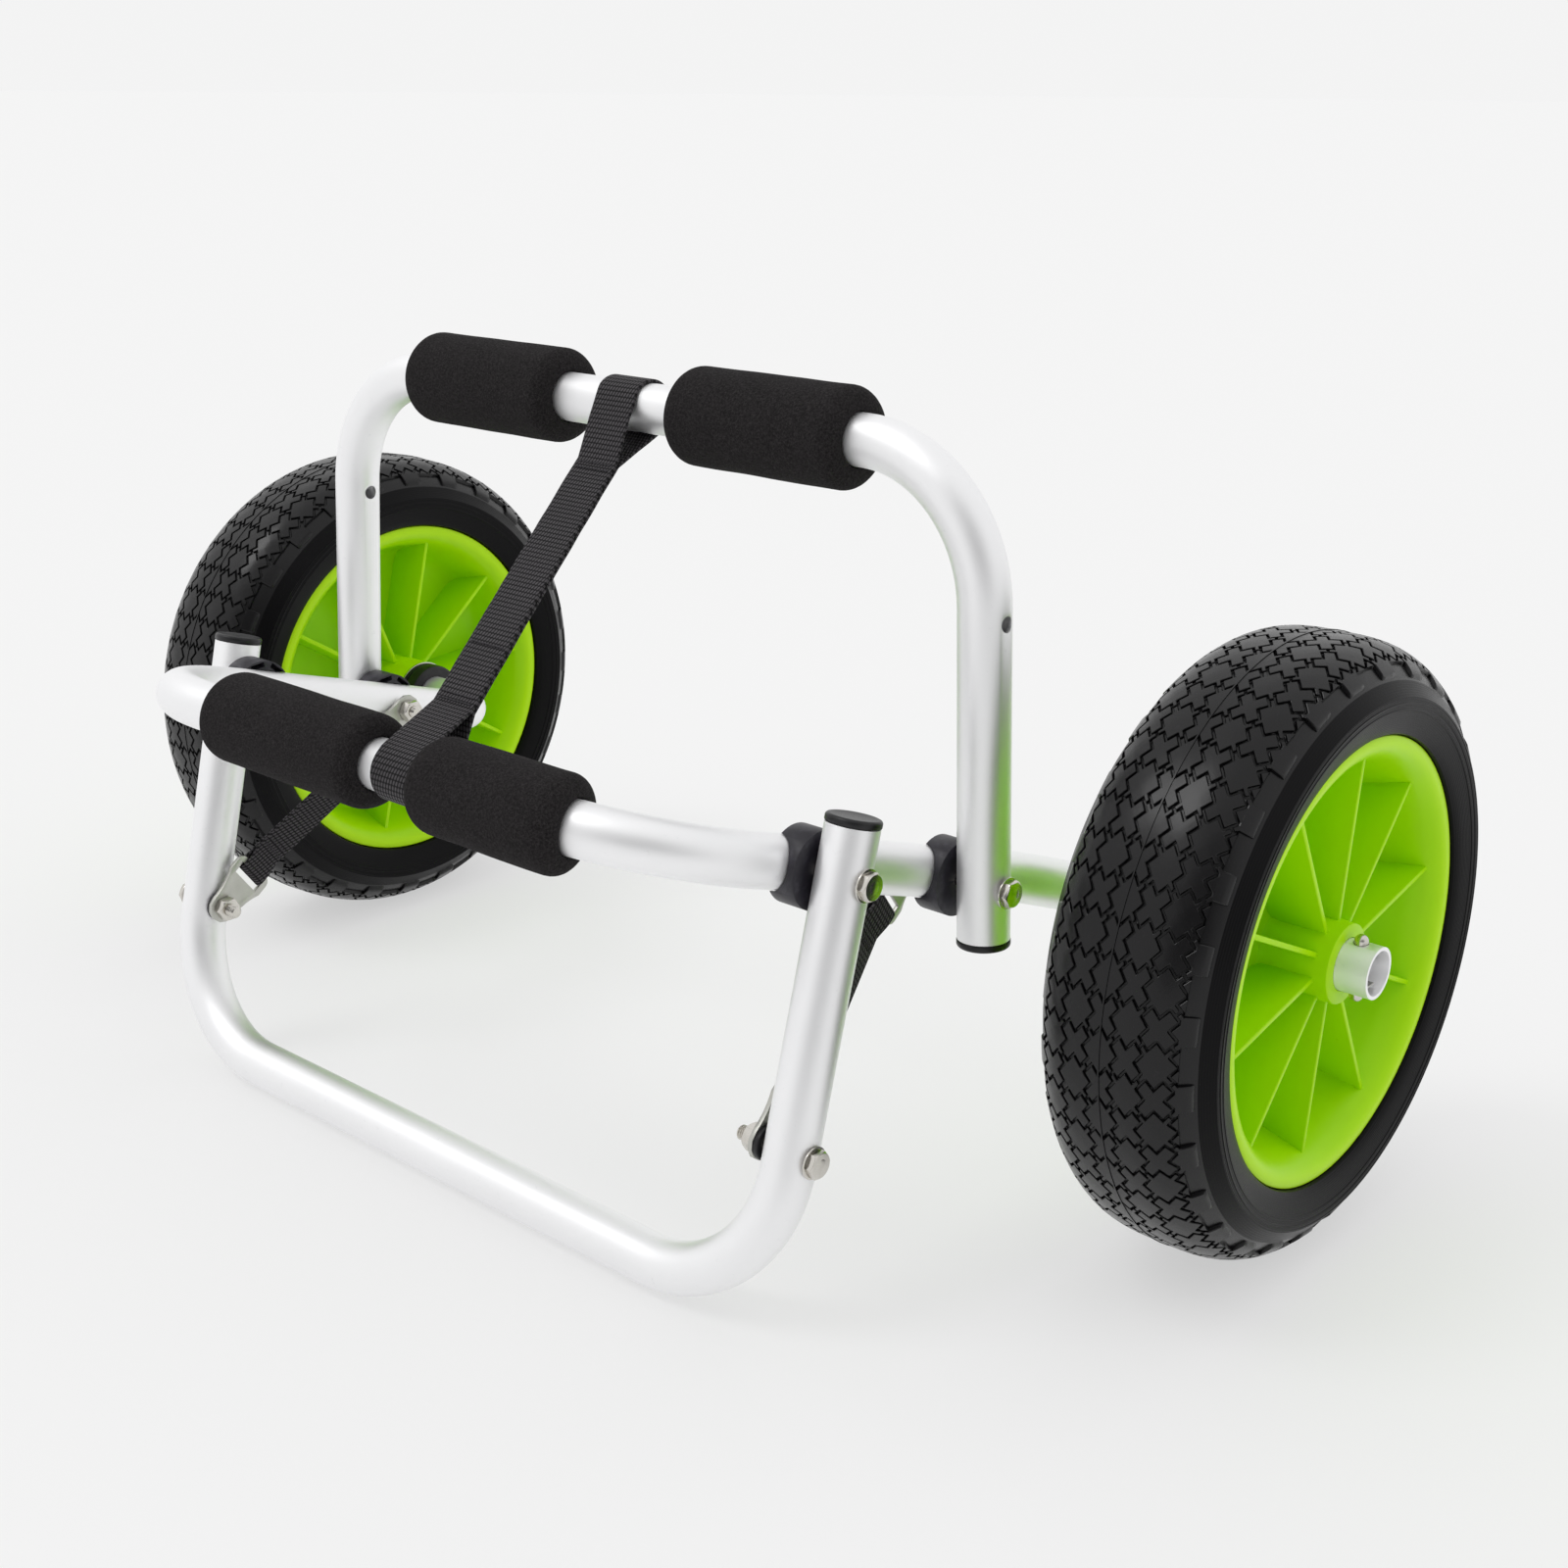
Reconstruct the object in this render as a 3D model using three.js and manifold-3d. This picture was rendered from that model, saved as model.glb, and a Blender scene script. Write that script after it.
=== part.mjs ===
// A folding hand cart that carries a kayak: a bent lower frame with an axle stub at each end, a hinged
// upper frame, a hinged kickstand, two ribbed wheels, foam pads and webbing straps.
// Millimetres. x runs along the axle, y from the front bar to the back, z up from the floor.
// The right side is modelled once and mirrored in x for the left side.
import * as THREE from "three";
import { mergeVertices } from "three/addons/utils/BufferGeometryUtils.js";
import Module from "manifold-3d";

const wasm = await Module();
wasm.setup();

// Fits: the gap between pieces that rest on each other, between a shaft and what turns on it,
// the length by which a cutting tool passes the faces that it cuts, and how near points count as one
const seatGap = 0.3;
const runGap = 0.3;
const overrun = 5;
const weldDistance = 0.0001;

// Counts: the sides of round pieces and the steps of arcs
const tubeSides = 14;
const wheelSides = 32;
const collarSides = 18;
const fastenerSides = 10;
const stepsPerBend = 6;
const stepsPerRounding = 3;
const stepsPerLoop = 12;
const stepsPerPlateEnd = 6;

// Frame tubes: all three frames are bent to one radius, and the axle ends to a smaller one
const tubeDiameter = 21.3;
const tubeWall = 1.5;
const tubeRadius = tubeDiameter / 2;
const frameBend = 60;

// Wheels: tyre, rim and the hub's reach from the tyre's middle plane
const wheelRadius = 127;
const tyreHalfWidth = 37.5;
const crownHalfWidth = 35.6;
const crownDrop = 16;
const crownPower = 3.6;
const rimLipRadius = 91.5;
const rimHalfWidth = 32.5;
const rimLipThickness = 3;
const rimWall = 3;
const bowlRootRadius = 74.5;
const bowlShoulderRadius = 81;
const bowlMouthRadius = 86;
const webThickness = 3.5;
const hubBossDiameter = 33;
const hubInnerReach = 40;
const hubOuterReach = 32;
const ribReach = 26.4;
const ribThickness = 2.4;
const ribCount = 10;
const rightRibTurn = THREE.MathUtils.degToRad(7);
const leftRibTurn = THREE.MathUtils.degToRad(14);
const ribSink = 1;

// Lower frame: its arms run from the axle line up to the front bar and come in on the way
const frameWidth = 358.4;
const frontTaper = 20;
const frontBarForward = 228.4;
const frontBarHeight = 198.1;
const axleBend = 50;
const axleHeight = wheelRadius;

// What sits on the axle stub, from the bend outwards
const collarSetback = 2.8;
const collarLength = 9.4;
const collarDiameter = 33;
const hubWasherThickness = 1;
const hubWasherDiameter = 34;
const endPlay = 2.3;
const stubTail = 8.3;

// Spring buttons that keep a wheel on its stub
const buttonDiameter = 5.6;
const buttonRise = 3.5;
const buttonFlangeDiameter = 8;
const buttonFlangeThickness = 1.2;
const buttonFlangeGap = 0.4;
const springLeafThickness = 0.8;
const springLeafWidth = 6;
const springLength = 36;
const springTail = 5.5;
const springNose = 1.6;

// Upper frame, hinged on the arms
const upperPivotForward = 77.9;
const topBarRise = 168.1;
const topBarBack = 2.8;
const topTaper = 9;
const upperTail = 21.6;
const spareHoleRise = 106.8;
const spareHoleDiameter = 6.5;

// Kickstand, hinged on the arms nearer the front bar; its lower bolts sit just above the bar's bends
const kickPivotForward = 157.5;
const kickBarForward = 199.5;
const kickTaper = 2.3;
const kickTail = 20.3;
const lowerBoltRise = 2.38;

// Saddle blocks between an arm and a leg
const saddleDiameter = 31;
const saddleWall = 2.4;

// Fasteners
const boltDiameter = 6;
const boltClearance = 0.3;
const headAcrossFlats = 10;
const headHeight = 2.9;
const nutHeight = 5;
const threadTail = 2;
const lowerThreadTail = 5;
const washerDiameter = 13;
const washerThickness = 0.7;
const spacerDiameter = 14;
const spacerThickness = 2;
const faceGap = 0.2;

// End caps of the legs
const capOverhang = 0.2;
const capThickness = 3;
const capChamfer = 0.8;
const capPlugDepth = 8;

// Foam sleeves: their two diameters, bore clearance, end rounding and ends along the bars
const topPadDiameter = 41.4;
const frontPadDiameter = 38.8;
const padGap = 0.3;
const padRounding = 7;
const leftTopPad = { from: -129, to: -36 };
const rightTopPad = { from: 36, to: 127.5 };
const leftFrontPad = { from: -85, to: 13 };
const rightFrontPad = { from: 46.5, to: 121 };

// Webbing: one layer's thickness, and the straps made of it
const webbing = 1.5;
const mainStrapWidth = 23;
const mainStrapTopPlace = 1.5;
const mainStrapFrontGap = 1.5;
const mainStrapLoop = 33;
const limitStrapWidth = 15;
const limitStrapTaper = 8;

// Steel plates that hold the ends of the limiting straps
const linkThickness = 2;
const linkBoltEndRadius = 7.5;
const linkReach = 25;
const linkCornerRadius = 3.5;
const linkWaist = 9;
const linkBar = 3.2;
const linkSideBar = 3.25;
const linkSlotHeight = 5.8;
const linkSlotMargin = 0.75;

const outward = new THREE.Vector3(1, 0, 0);
const boreRadius = tubeRadius - tubeWall;
const boltRadius = boltDiameter / 2;
const boltHoleRadius = boltRadius + boltClearance;
const linkHalfWidth = limitStrapWidth / 2 + linkSlotMargin + linkSideBar;
const mainStrapFrontPlace = rightFrontPad.from - mainStrapFrontGap - mainStrapWidth / 2;

// Finishes, from the photograph
function finish(color, roughness, metalness) {
  return { color, roughness, metalness };
}
const anodised = finish(0xd5d6da, 0.38, 0.9);
const foam = finish(0x1d1d1f, 0.95, 0);
const blackPlastic = finish(0x26262a, 0.55, 0);
const greyBlackPlastic = finish(0x38363f, 0.6, 0);
const webbingBlack = finish(0x1a191c, 0.9, 0);
const polishedSteel = finish(0xd8d6d2, 0.22, 1);
const satinSteel = finish(0xa9a9a4, 0.4, 0.9);
const limeRim = finish(0x74b400, 0.42, 0);
const tyreRubber = finish(0x2d2c30, 0.85, 0);

// The centreline of a bent tube: straight runs joined by arcs, with stations close together only in bends
class BentLine extends THREE.Curve {
  constructor(corners, bends) {
    super();
    this.parts = [];
    this.reach = 0;
    let from = corners[0];
    bends.forEach((radius, i) => {
      const corner = corners[i + 1];
      const arrive = corner.clone().sub(corners[i]).normalize();
      const leave = corners[i + 2].clone().sub(corner).normalize();
      const turn = arrive.angleTo(leave);
      const setback = radius * Math.tan(turn / 2);
      const start = corner.clone().addScaledVector(arrive, -setback);
      this.addRun(from, start);
      const inward = leave.clone().addScaledVector(arrive, -arrive.dot(leave)).normalize();
      const arc = { inward, radius, length: radius * turn, steps: stepsPerBend };
      this.addPart({ from: start, along: arrive, ...arc });
      from = corner.clone().addScaledVector(leave, setback);
    });
    this.addRun(from, corners[corners.length - 1]);
    this.stations = [0];
    for (const part of this.parts) {
      for (let k = 1; k <= part.steps; k++) {
        this.stations.push(part.start + (part.length * k) / part.steps);
      }
    }
    this.steps = this.stations.length - 1;
  }

  addRun(from, to) {
    const along = to.clone().sub(from).normalize();
    this.addPart({ from, along, length: from.distanceTo(to), steps: 1 });
  }

  addPart(part) {
    this.parts.push({ ...part, start: this.reach });
    this.reach += part.length;
  }

  partAt(length) {
    return this.parts.find((part) => length <= part.start + part.length) ?? this.parts[this.parts.length - 1];
  }

  // The point at a length along the line
  pointAt(length) {
    const part = this.partAt(length);
    const inside = length - part.start;
    if (!part.inward) return part.from.clone().addScaledVector(part.along, inside);
    const angle = inside / part.radius;
    return part.from
      .clone()
      .addScaledVector(part.along, part.radius * Math.sin(angle))
      .addScaledVector(part.inward, part.radius * (1 - Math.cos(angle)));
  }

  // The unit tangent at a length along the line
  directionAt(length) {
    const part = this.partAt(length);
    if (!part.inward) return part.along.clone();
    const angle = (length - part.start) / part.radius;
    return part.along.clone().multiplyScalar(Math.cos(angle)).addScaledVector(part.inward, Math.sin(angle));
  }

  lengthAt(share) {
    const place = share * this.steps;
    const before = Math.min(Math.floor(place), this.steps - 1);
    return THREE.MathUtils.lerp(this.stations[before], this.stations[before + 1], place - before);
  }

  getPointAt(share) {
    return this.pointAt(this.lengthAt(share));
  }

  getTangentAt(share) {
    return this.directionAt(this.lengthAt(share));
  }

  // The length at which the straight bar across the middle crosses x = 0
  barMiddle() {
    const bar = this.parts.find((part) => !part.inward && part.from.x * (part.from.x + part.length) < 0);
    return bar.start - bar.from.x;
  }

  // Adds a station where each pad on the bar ends, so that tube and pad have the same flats there
  markPads(...pads) {
    const middle = this.barMiddle();
    const ends = pads.flatMap((pad) => [middle + pad.from, middle + pad.to]);
    this.stations = [...this.stations, ...ends].sort((a, b) => a - b);
    this.steps = this.stations.length - 1;
  }
}

// Shapes

function arcPoints(x, y, radius, startAngle, endAngle, steps) {
  return Array.from({ length: steps + 1 }, (_, k) => {
    const angle = THREE.MathUtils.lerp(startAngle, endAngle, k / steps);
    return new THREE.Vector2(x + radius * Math.cos(angle), y + radius * Math.sin(angle));
  });
}

function circlePoints(radius, sides) {
  return arcPoints(0, 0, radius, 0, 2 * Math.PI, sides).slice(0, -1);
}

function outline(points, ...holes) {
  const shape = new THREE.Shape(points);
  holes.forEach((hole) => shape.holes.push(new THREE.Path(hole)));
  return shape;
}

// A flat piece of an outline, with its middle plane at z = 0
function slab(shape, thickness) {
  const geometry = new THREE.ExtrudeGeometry(shape, { depth: thickness, bevelEnabled: false });
  return geometry.translate(0, 0, -thickness / 2);
}

// A turned piece round the x axis: the profile's points are [distance along x, radius]
function turned(profile, sides) {
  const points = profile.map(([along, radius]) => new THREE.Vector2(radius, along));
  return new THREE.LatheGeometry(points, sides).rotateZ(-Math.PI / 2);
}

// A ring round the x axis from one place to another
function ring(from, to, innerRadius, outerRadius, sides) {
  const profile = [
    [from, innerRadius],
    [from, outerRadius],
    [to, outerRadius],
    [to, innerRadius],
    [from, innerRadius],
  ];
  return turned(profile, sides);
}

// A round rod between two points
function rod(from, to, radius, sides = fastenerSides) {
  const along = to.clone().sub(from);
  const geometry = new THREE.CylinderGeometry(radius, radius, along.length(), sides);
  const turn = new THREE.Quaternion().setFromUnitVectors(new THREE.Vector3(0, 1, 0), along.normalize());
  const middle = from.clone().lerp(to, 0.5);
  return geometry.applyQuaternion(turn).translate(middle.x, middle.y, middle.z);
}

// A rod along x through a point, past it by a reach on either side
function crossRod(point, reach, radius, sides = fastenerSides) {
  const step = outward.clone().multiplyScalar(reach);
  return rod(point.clone().sub(step), point.clone().add(step), radius, sides);
}

// A hexagonal prism along x
function hexagon(from, to, acrossFlats) {
  const radius = acrossFlats / Math.sqrt(3);
  const prism = new THREE.CylinderGeometry(radius, radius, to - from, 6).rotateZ(-Math.PI / 2);
  return prism.translate((from + to) / 2, 0, 0);
}

// Joining and cutting

function solidOf(geometry) {
  const bare = geometry.clone();
  bare.deleteAttribute("normal");
  bare.deleteAttribute("uv");
  const merged = mergeVertices(bare, weldDistance);
  const vertProperties = new Float32Array(merged.attributes.position.array);
  const triVerts = new Uint32Array(merged.index.array);
  return new wasm.Manifold(new wasm.Mesh({ numProp: 3, vertProperties, triVerts }));
}

function geometryOf(solid) {
  const mesh = solid.getMesh();
  const geometry = new THREE.BufferGeometry();
  geometry.setAttribute("position", new THREE.BufferAttribute(mesh.vertProperties, 3));
  geometry.setIndex(new THREE.BufferAttribute(mesh.triVerts, 1));
  return geometry;
}

function cut(geometry, ...tools) {
  const solid = tools.reduce((rest, tool) => rest.subtract(solidOf(tool)), solidOf(geometry));
  return geometryOf(solid);
}

function joined(geometry, ...others) {
  const solid = others.reduce((sum, other) => sum.add(solidOf(other)), solidOf(geometry));
  return geometryOf(solid);
}

function piece(name, geometry, look) {
  geometry.computeVertexNormals();
  const mesh = new THREE.Mesh(geometry, new THREE.MeshStandardMaterial({ ...look, flatShading: true }));
  mesh.name = name;
  return mesh;
}

function bentTube(line) {
  const section = outline(circlePoints(tubeRadius, tubeSides), circlePoints(boreRadius, tubeSides));
  return new THREE.ExtrudeGeometry(section, { steps: line.steps, extrudePath: line, bevelEnabled: false });
}

// Places on the frame, on the right side unless a side of -1 is given

function armPoint(forward, side = 1) {
  const share = forward / frontBarForward;
  return new THREE.Vector3(
    side * (frameWidth / 2 - frontTaper * share),
    -forward,
    THREE.MathUtils.lerp(axleHeight, frontBarHeight, share),
  );
}

const legSpacing = tubeDiameter + saddleWall;
const armSlope = frontTaper / frontBarForward;
const upperPivot = armPoint(upperPivotForward);
const kickPivot = armPoint(kickPivotForward);
const upperLegPlace = upperPivot.x + legSpacing;
const kickLegPlace = kickPivot.x + legSpacing;
const upperLegSlope = topTaper / topBarRise;
const kickLegSlope = kickTaper / (kickPivot.z - tubeRadius);

// The leg's centre at its pivot, and the bar's corner that the leg runs to
const upperHinge = new THREE.Vector3(upperLegPlace, upperPivot.y, upperPivot.z);
const topCorner = new THREE.Vector3(
  upperLegPlace - topTaper,
  upperPivot.y + topBarBack,
  upperPivot.z + topBarRise,
);
const kickHinge = new THREE.Vector3(kickLegPlace, kickPivot.y, kickPivot.z);
const kickCorner = new THREE.Vector3(kickLegPlace - kickTaper, -kickBarForward, tubeRadius);

// The point of a leg past its hinge, on the side away from the bar
function tailEnd(hinge, corner, tail) {
  const away = hinge.clone().sub(corner).normalize();
  return hinge.clone().addScaledVector(away, tail);
}

// The point of a leg at a height
function legPoint(hinge, corner, height) {
  return hinge.clone().lerp(corner, (height - hinge.z) / (corner.z - hinge.z));
}

const upperTailEnd = tailEnd(upperHinge, topCorner, upperTail);
const kickTailEnd = tailEnd(kickHinge, kickCorner, kickTail);
const spareHole = legPoint(upperHinge, topCorner, upperHinge.z + spareHoleRise);
const lowerBolt = legPoint(kickHinge, kickCorner, kickCorner.z + frameBend + lowerBoltRise);

// Along the stub, outwards
const collarPlace = frameWidth / 2 + axleBend + collarSetback;
const hubWasherPlace = collarPlace + collarLength + seatGap;
const hubInnerPlace = hubWasherPlace + hubWasherThickness + seatGap;
const wheelPlace = hubInnerPlace + hubInnerReach;
const buttonPlace = wheelPlace + hubOuterReach + endPlay + buttonDiameter / 2;
const stubEnd = buttonPlace + stubTail;

function mirrored(point) {
  return new THREE.Vector3(-point.x, point.y, point.z);
}

const mainLine = new BentLine(
  [
    new THREE.Vector3(-stubEnd, 0, axleHeight),
    armPoint(0, -1),
    armPoint(frontBarForward, -1),
    armPoint(frontBarForward),
    armPoint(0),
    new THREE.Vector3(stubEnd, 0, axleHeight),
  ],
  [axleBend, frameBend, frameBend, axleBend],
);

const upperLine = new BentLine(
  [mirrored(upperTailEnd), mirrored(topCorner), topCorner, upperTailEnd],
  [frameBend, frameBend],
);

const kickLine = new BentLine(
  [mirrored(kickTailEnd), mirrored(kickCorner), kickCorner, kickTailEnd],
  [frameBend, frameBend],
);

mainLine.markPads(leftFrontPad, rightFrontPad);
upperLine.markPads(leftTopPad, rightTopPad);

// Both copies of a cut that each side needs
function onBothSides(place) {
  return [place(1), place(-1)];
}

function sideways(point, side) {
  return side > 0 ? point.clone() : mirrored(point);
}

const crossReach = tubeRadius + overrun;

function mainFrameTube() {
  const boltHoles = [upperPivot, kickPivot].flatMap((point) =>
    onBothSides((side) => crossRod(sideways(point, side), crossReach, boltHoleRadius)),
  );
  const buttonHoles = onBothSides((side) => {
    const top = new THREE.Vector3(side * buttonPlace, 0, axleHeight + crossReach);
    const bottom = new THREE.Vector3(side * buttonPlace, 0, axleHeight - crossReach);
    return rod(bottom, top, buttonDiameter / 2 + seatGap);
  });
  return piece("main_frame_tube", cut(bentTube(mainLine), ...boltHoles, ...buttonHoles), anodised);
}

function upperFrameTube() {
  const boltHoles = onBothSides((side) => crossRod(sideways(upperHinge, side), crossReach, boltHoleRadius));
  const spareHoles = onBothSides((side) =>
    crossRod(sideways(spareHole, side), crossReach, spareHoleDiameter / 2),
  );
  return piece("upper_frame_tube", cut(bentTube(upperLine), ...boltHoles, ...spareHoles), anodised);
}

function kickstandTube() {
  const boltHoles = [kickHinge, lowerBolt].flatMap((point) =>
    onBothSides((side) => crossRod(sideways(point, side), crossReach, boltHoleRadius)),
  );
  return piece("kickstand_tube", cut(bentTube(kickLine), ...boltHoles), anodised);
}

// A foam sleeve made straight along x and then laid along the tube's own line, with the tube's stations
function foamPad(name, line, span, diameter) {
  const outer = diameter / 2;
  const inner = tubeRadius + padGap;
  const start = line.barMiddle() + span.from;
  const length = span.to - span.from;
  const rounding = Math.min(padRounding, outer - inner - padGap);
  const stations = line.stations.map((station) => station - start);
  const outerStations = stations.filter((place) => place > rounding && place < length - rounding);
  const boreStations = stations.filter((place) => place > 0 && place < length).reverse();
  const endArc = arcPoints(rounding, outer - rounding, rounding, Math.PI, Math.PI / 2, stepsPerRounding);
  const profile = [
    [0, inner],
    ...endArc.map((point) => [point.x, point.y]),
    ...outerStations.map((place) => [place, outer]),
    ...endArc.map((point) => [length - point.x, point.y]).reverse(),
    [length, inner],
    ...boreStations.map((place) => [place, inner]),
    [0, inner],
  ];
  const geometry = turned(profile, tubeSides);
  const bend = line.parts.find((part) => part.inward);
  const normal = bend.along.clone().cross(bend.inward).normalize();
  const position = geometry.attributes.position;
  for (let i = 0; i < position.count; i++) {
    const along = start + position.getX(i);
    const across = normal.clone().cross(line.directionAt(along)).multiplyScalar(position.getY(i));
    const place = line.pointAt(along).add(across).addScaledVector(normal, position.getZ(i));
    position.setXYZ(i, place.x, place.y, place.z);
  }
  return piece(name, geometry, foam);
}

// Everything below is for the right side

function saddle(name, pivot, legPlace, legSlope) {
  const outerFace = legPlace - tubeRadius - seatGap - (saddleDiameter / 2) * legSlope;
  const faceCentre = new THREE.Vector3(outerFace, pivot.y, pivot.z);
  const block = rod(pivot, faceCentre, saddleDiameter / 2, collarSides);
  const alongArm = armPoint(frontBarForward).sub(armPoint(0)).setLength(saddleDiameter);
  const grooveFrom = pivot.clone().sub(alongArm);
  const groove = rod(grooveFrom, pivot.clone().add(alongArm), tubeRadius + seatGap, tubeSides);
  return piece(name, cut(block, groove, crossRod(pivot, saddleDiameter, boltHoleRadius)), greyBlackPlastic);
}

// A bolt along x with its head outside, given by where its head starts and where its thread ends
function bolt(name, headPlace, threadEnd) {
  const from = new THREE.Vector3(threadEnd, 0, 0);
  const to = new THREE.Vector3(headPlace + headHeight / 2, 0, 0);
  const head = hexagon(headPlace, headPlace + headHeight, headAcrossFlats);
  return piece(name, joined(head, rod(from, to, boltRadius)), polishedSteel);
}

function nut(name, outerPlace) {
  const body = hexagon(outerPlace - nutHeight, outerPlace, headAcrossFlats);
  const hole = crossRod(new THREE.Vector3(outerPlace, 0, 0), nutHeight + overrun, boltHoleRadius);
  return piece(name, cut(body, hole), polishedSteel);
}

function washer(name, from, thickness, diameter, look) {
  return piece(name, ring(from, from + thickness, boltHoleRadius, diameter / 2, fastenerSides), look);
}

function groupAt(y, z, pieces) {
  const group = new THREE.Group();
  group.position.set(0, y, z);
  group.add(...pieces);
  return group;
}

// The places along x of a pivot's fasteners: the head's washer outside the leg, the nut inside the arm
function pivotFasteners(side, label, pivot, legPlace, legSlope, nutPlace) {
  const washerPlace = legPlace + tubeRadius + seatGap + (washerDiameter / 2) * legSlope;
  const headPlace = washerPlace + washerThickness + faceGap;
  const pieces = [
    bolt(`${side}_${label}_pivot_bolt`, headPlace, nutPlace - nutHeight - threadTail),
    washer(`${side}_${label}_pivot_washer`, washerPlace, washerThickness, washerDiameter, polishedSteel),
    nut(`${side}_${label}_pivot_nut`, nutPlace),
  ];
  return groupAt(pivot.y, pivot.z, pieces);
}

// Where the first piece inside the arm may start, if it reaches this far from the pivot along the arm
function armInside(pivot, reach) {
  return pivot.x - tubeRadius - seatGap - reach * armSlope;
}

function lowerFasteners(side) {
  const place = lowerBolt.x;
  const washerPlace = place + tubeRadius + seatGap + (washerDiameter / 2) * kickLegSlope;
  const headPlace = washerPlace + washerThickness + faceGap;
  const nutPlace = lowerLinkPlace - linkThickness / 2 - faceGap;
  const spacerPlace = lowerLinkPlace + linkThickness / 2 + faceGap;
  const pieces = [
    bolt(`${side}_lower_bolt`, headPlace, nutPlace - nutHeight - lowerThreadTail),
    washer(`${side}_lower_washer`, washerPlace, washerThickness, washerDiameter, polishedSteel),
    washer(`${side}_lower_spacer`, spacerPlace, spacerThickness, spacerDiameter, blackPlastic),
    nut(`${side}_lower_nut`, nutPlace),
  ];
  return groupAt(lowerBolt.y, lowerBolt.z, pieces);
}

// Middle planes of the strap plates
const upperLinkPlace = armInside(upperPivot, linkReach / 2) - linkThickness / 2;
const upperNutPlace = upperLinkPlace - linkThickness / 2 - faceGap;
const kickNutPlace = armInside(kickPivot, headAcrossFlats / Math.sqrt(3));
const lowerLinkPlace =
  lowerBolt.x -
  tubeRadius -
  seatGap -
  (spacerDiameter / 2) * kickLegSlope -
  spacerThickness -
  faceGap -
  linkThickness / 2;

// The limiting strap runs straight from the upper pivot to the lower bolt
const limitRun = new THREE.Vector3(0, lowerBolt.y - upperPivot.y, lowerBolt.z - upperPivot.z);
const limitLength = limitRun.length();
const limitDirection = limitRun.clone().normalize();

// A strap plate, its bolt hole at the origin, its wide end at +x of its own plane. Its sides curve in
// between the round bolt end and the wide end's corners.
function linkShape() {
  const cornerX = linkReach - linkCornerRadius;
  const cornerY = linkHalfWidth - linkCornerRadius;
  const slotTo = linkReach - linkBar;
  const slotFrom = slotTo - linkSlotHeight;
  const quarter = Math.PI / 2;
  const waistCurve = new THREE.QuadraticBezierCurve(
    new THREE.Vector2(0, -linkBoltEndRadius),
    new THREE.Vector2(linkWaist, -linkBoltEndRadius),
    new THREE.Vector2(slotFrom, -linkHalfWidth),
  );
  const waist = waistCurve.getPoints(stepsPerPlateEnd).slice(1);
  const farWaist = waist.map((point) => new THREE.Vector2(point.x, -point.y)).reverse();
  const points = [
    ...arcPoints(0, 0, linkBoltEndRadius, quarter, 3 * quarter, stepsPerPlateEnd),
    ...waist,
    ...arcPoints(cornerX, -cornerY, linkCornerRadius, -quarter, 0, stepsPerRounding),
    ...arcPoints(cornerX, cornerY, linkCornerRadius, 0, quarter, stepsPerRounding),
    ...farWaist,
  ];
  const hole = circlePoints(boltHoleRadius, fastenerSides);
  const slotSide = limitStrapWidth / 2 + linkSlotMargin;
  const slot = [
    new THREE.Vector2(slotFrom, -slotSide),
    new THREE.Vector2(slotTo, -slotSide),
    new THREE.Vector2(slotTo, slotSide),
    new THREE.Vector2(slotFrom, slotSide),
  ];
  return outline(points, hole, slot);
}

// Turns a flat piece so that its own x follows a direction in the yz plane and its own z follows x
function standAlong(geometry, direction, place) {
  const acrossDirection = outward.clone().cross(direction);
  const basis = new THREE.Matrix4().makeBasis(direction, acrossDirection, outward);
  return geometry.applyMatrix4(basis.setPosition(place));
}

function strapPlate(name, place, direction) {
  return piece(name, standAlong(slab(linkShape(), linkThickness), direction, place), satinSteel);
}

// The limiting strap seen edge on: a loop round each plate's bar, then two layers laid together.
// The loop's points are [distance from the bolt, distance from the plate's middle plane].
function limitStrapShape() {
  const barFrom = linkReach - linkBar - seatGap;
  const barTo = linkReach + seatGap;
  const inside = linkThickness / 2 + seatGap;
  const outside = inside + webbing;
  const meet = barTo + limitStrapTaper;
  const loop = [
    [meet, -webbing],
    [barTo, -outside],
    [barFrom - webbing, -outside],
    [barFrom - webbing, outside],
    [barTo, outside],
    [meet, webbing],
  ];
  const hollow = [
    [barFrom, -inside],
    [barTo, -inside],
    [meet - webbing, 0],
    [barTo, inside],
    [barFrom, inside],
  ];
  const nearEnd = ([along, off]) => new THREE.Vector2(along, upperLinkPlace + off);
  const farEnd = ([along, off]) => new THREE.Vector2(limitLength - along, lowerLinkPlace - off);
  const points = [...loop.map(nearEnd), ...loop.map(farEnd)];
  return outline(points, hollow.map(nearEnd), hollow.map(farEnd));
}

function limitStrap(name) {
  const geometry = slab(limitStrapShape(), limitStrapWidth);
  const backDirection = limitDirection.clone().cross(outward);
  const basis = new THREE.Matrix4().makeBasis(limitDirection, outward, backDirection);
  basis.setPosition(0, upperPivot.y, upperPivot.z);
  return piece(name, geometry.applyMatrix4(basis), webbingBlack);
}

// A plug and a flat lid for a tube's open end
function endCap(name, end, direction) {
  const plugRadius = boreRadius - seatGap;
  const lid = tubeRadius + capOverhang;
  const top = seatGap + capThickness;
  const profile = [
    [-capPlugDepth, 0],
    [-capPlugDepth, plugRadius],
    [seatGap, plugRadius],
    [seatGap, lid],
    [top - capChamfer, lid],
    [top, lid - capChamfer],
    [top, 0],
  ];
  const mesh = piece(name, turned(profile, tubeSides), blackPlastic);
  mesh.quaternion.setFromUnitVectors(outward, direction);
  mesh.position.copy(end);
  return mesh;
}

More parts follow.
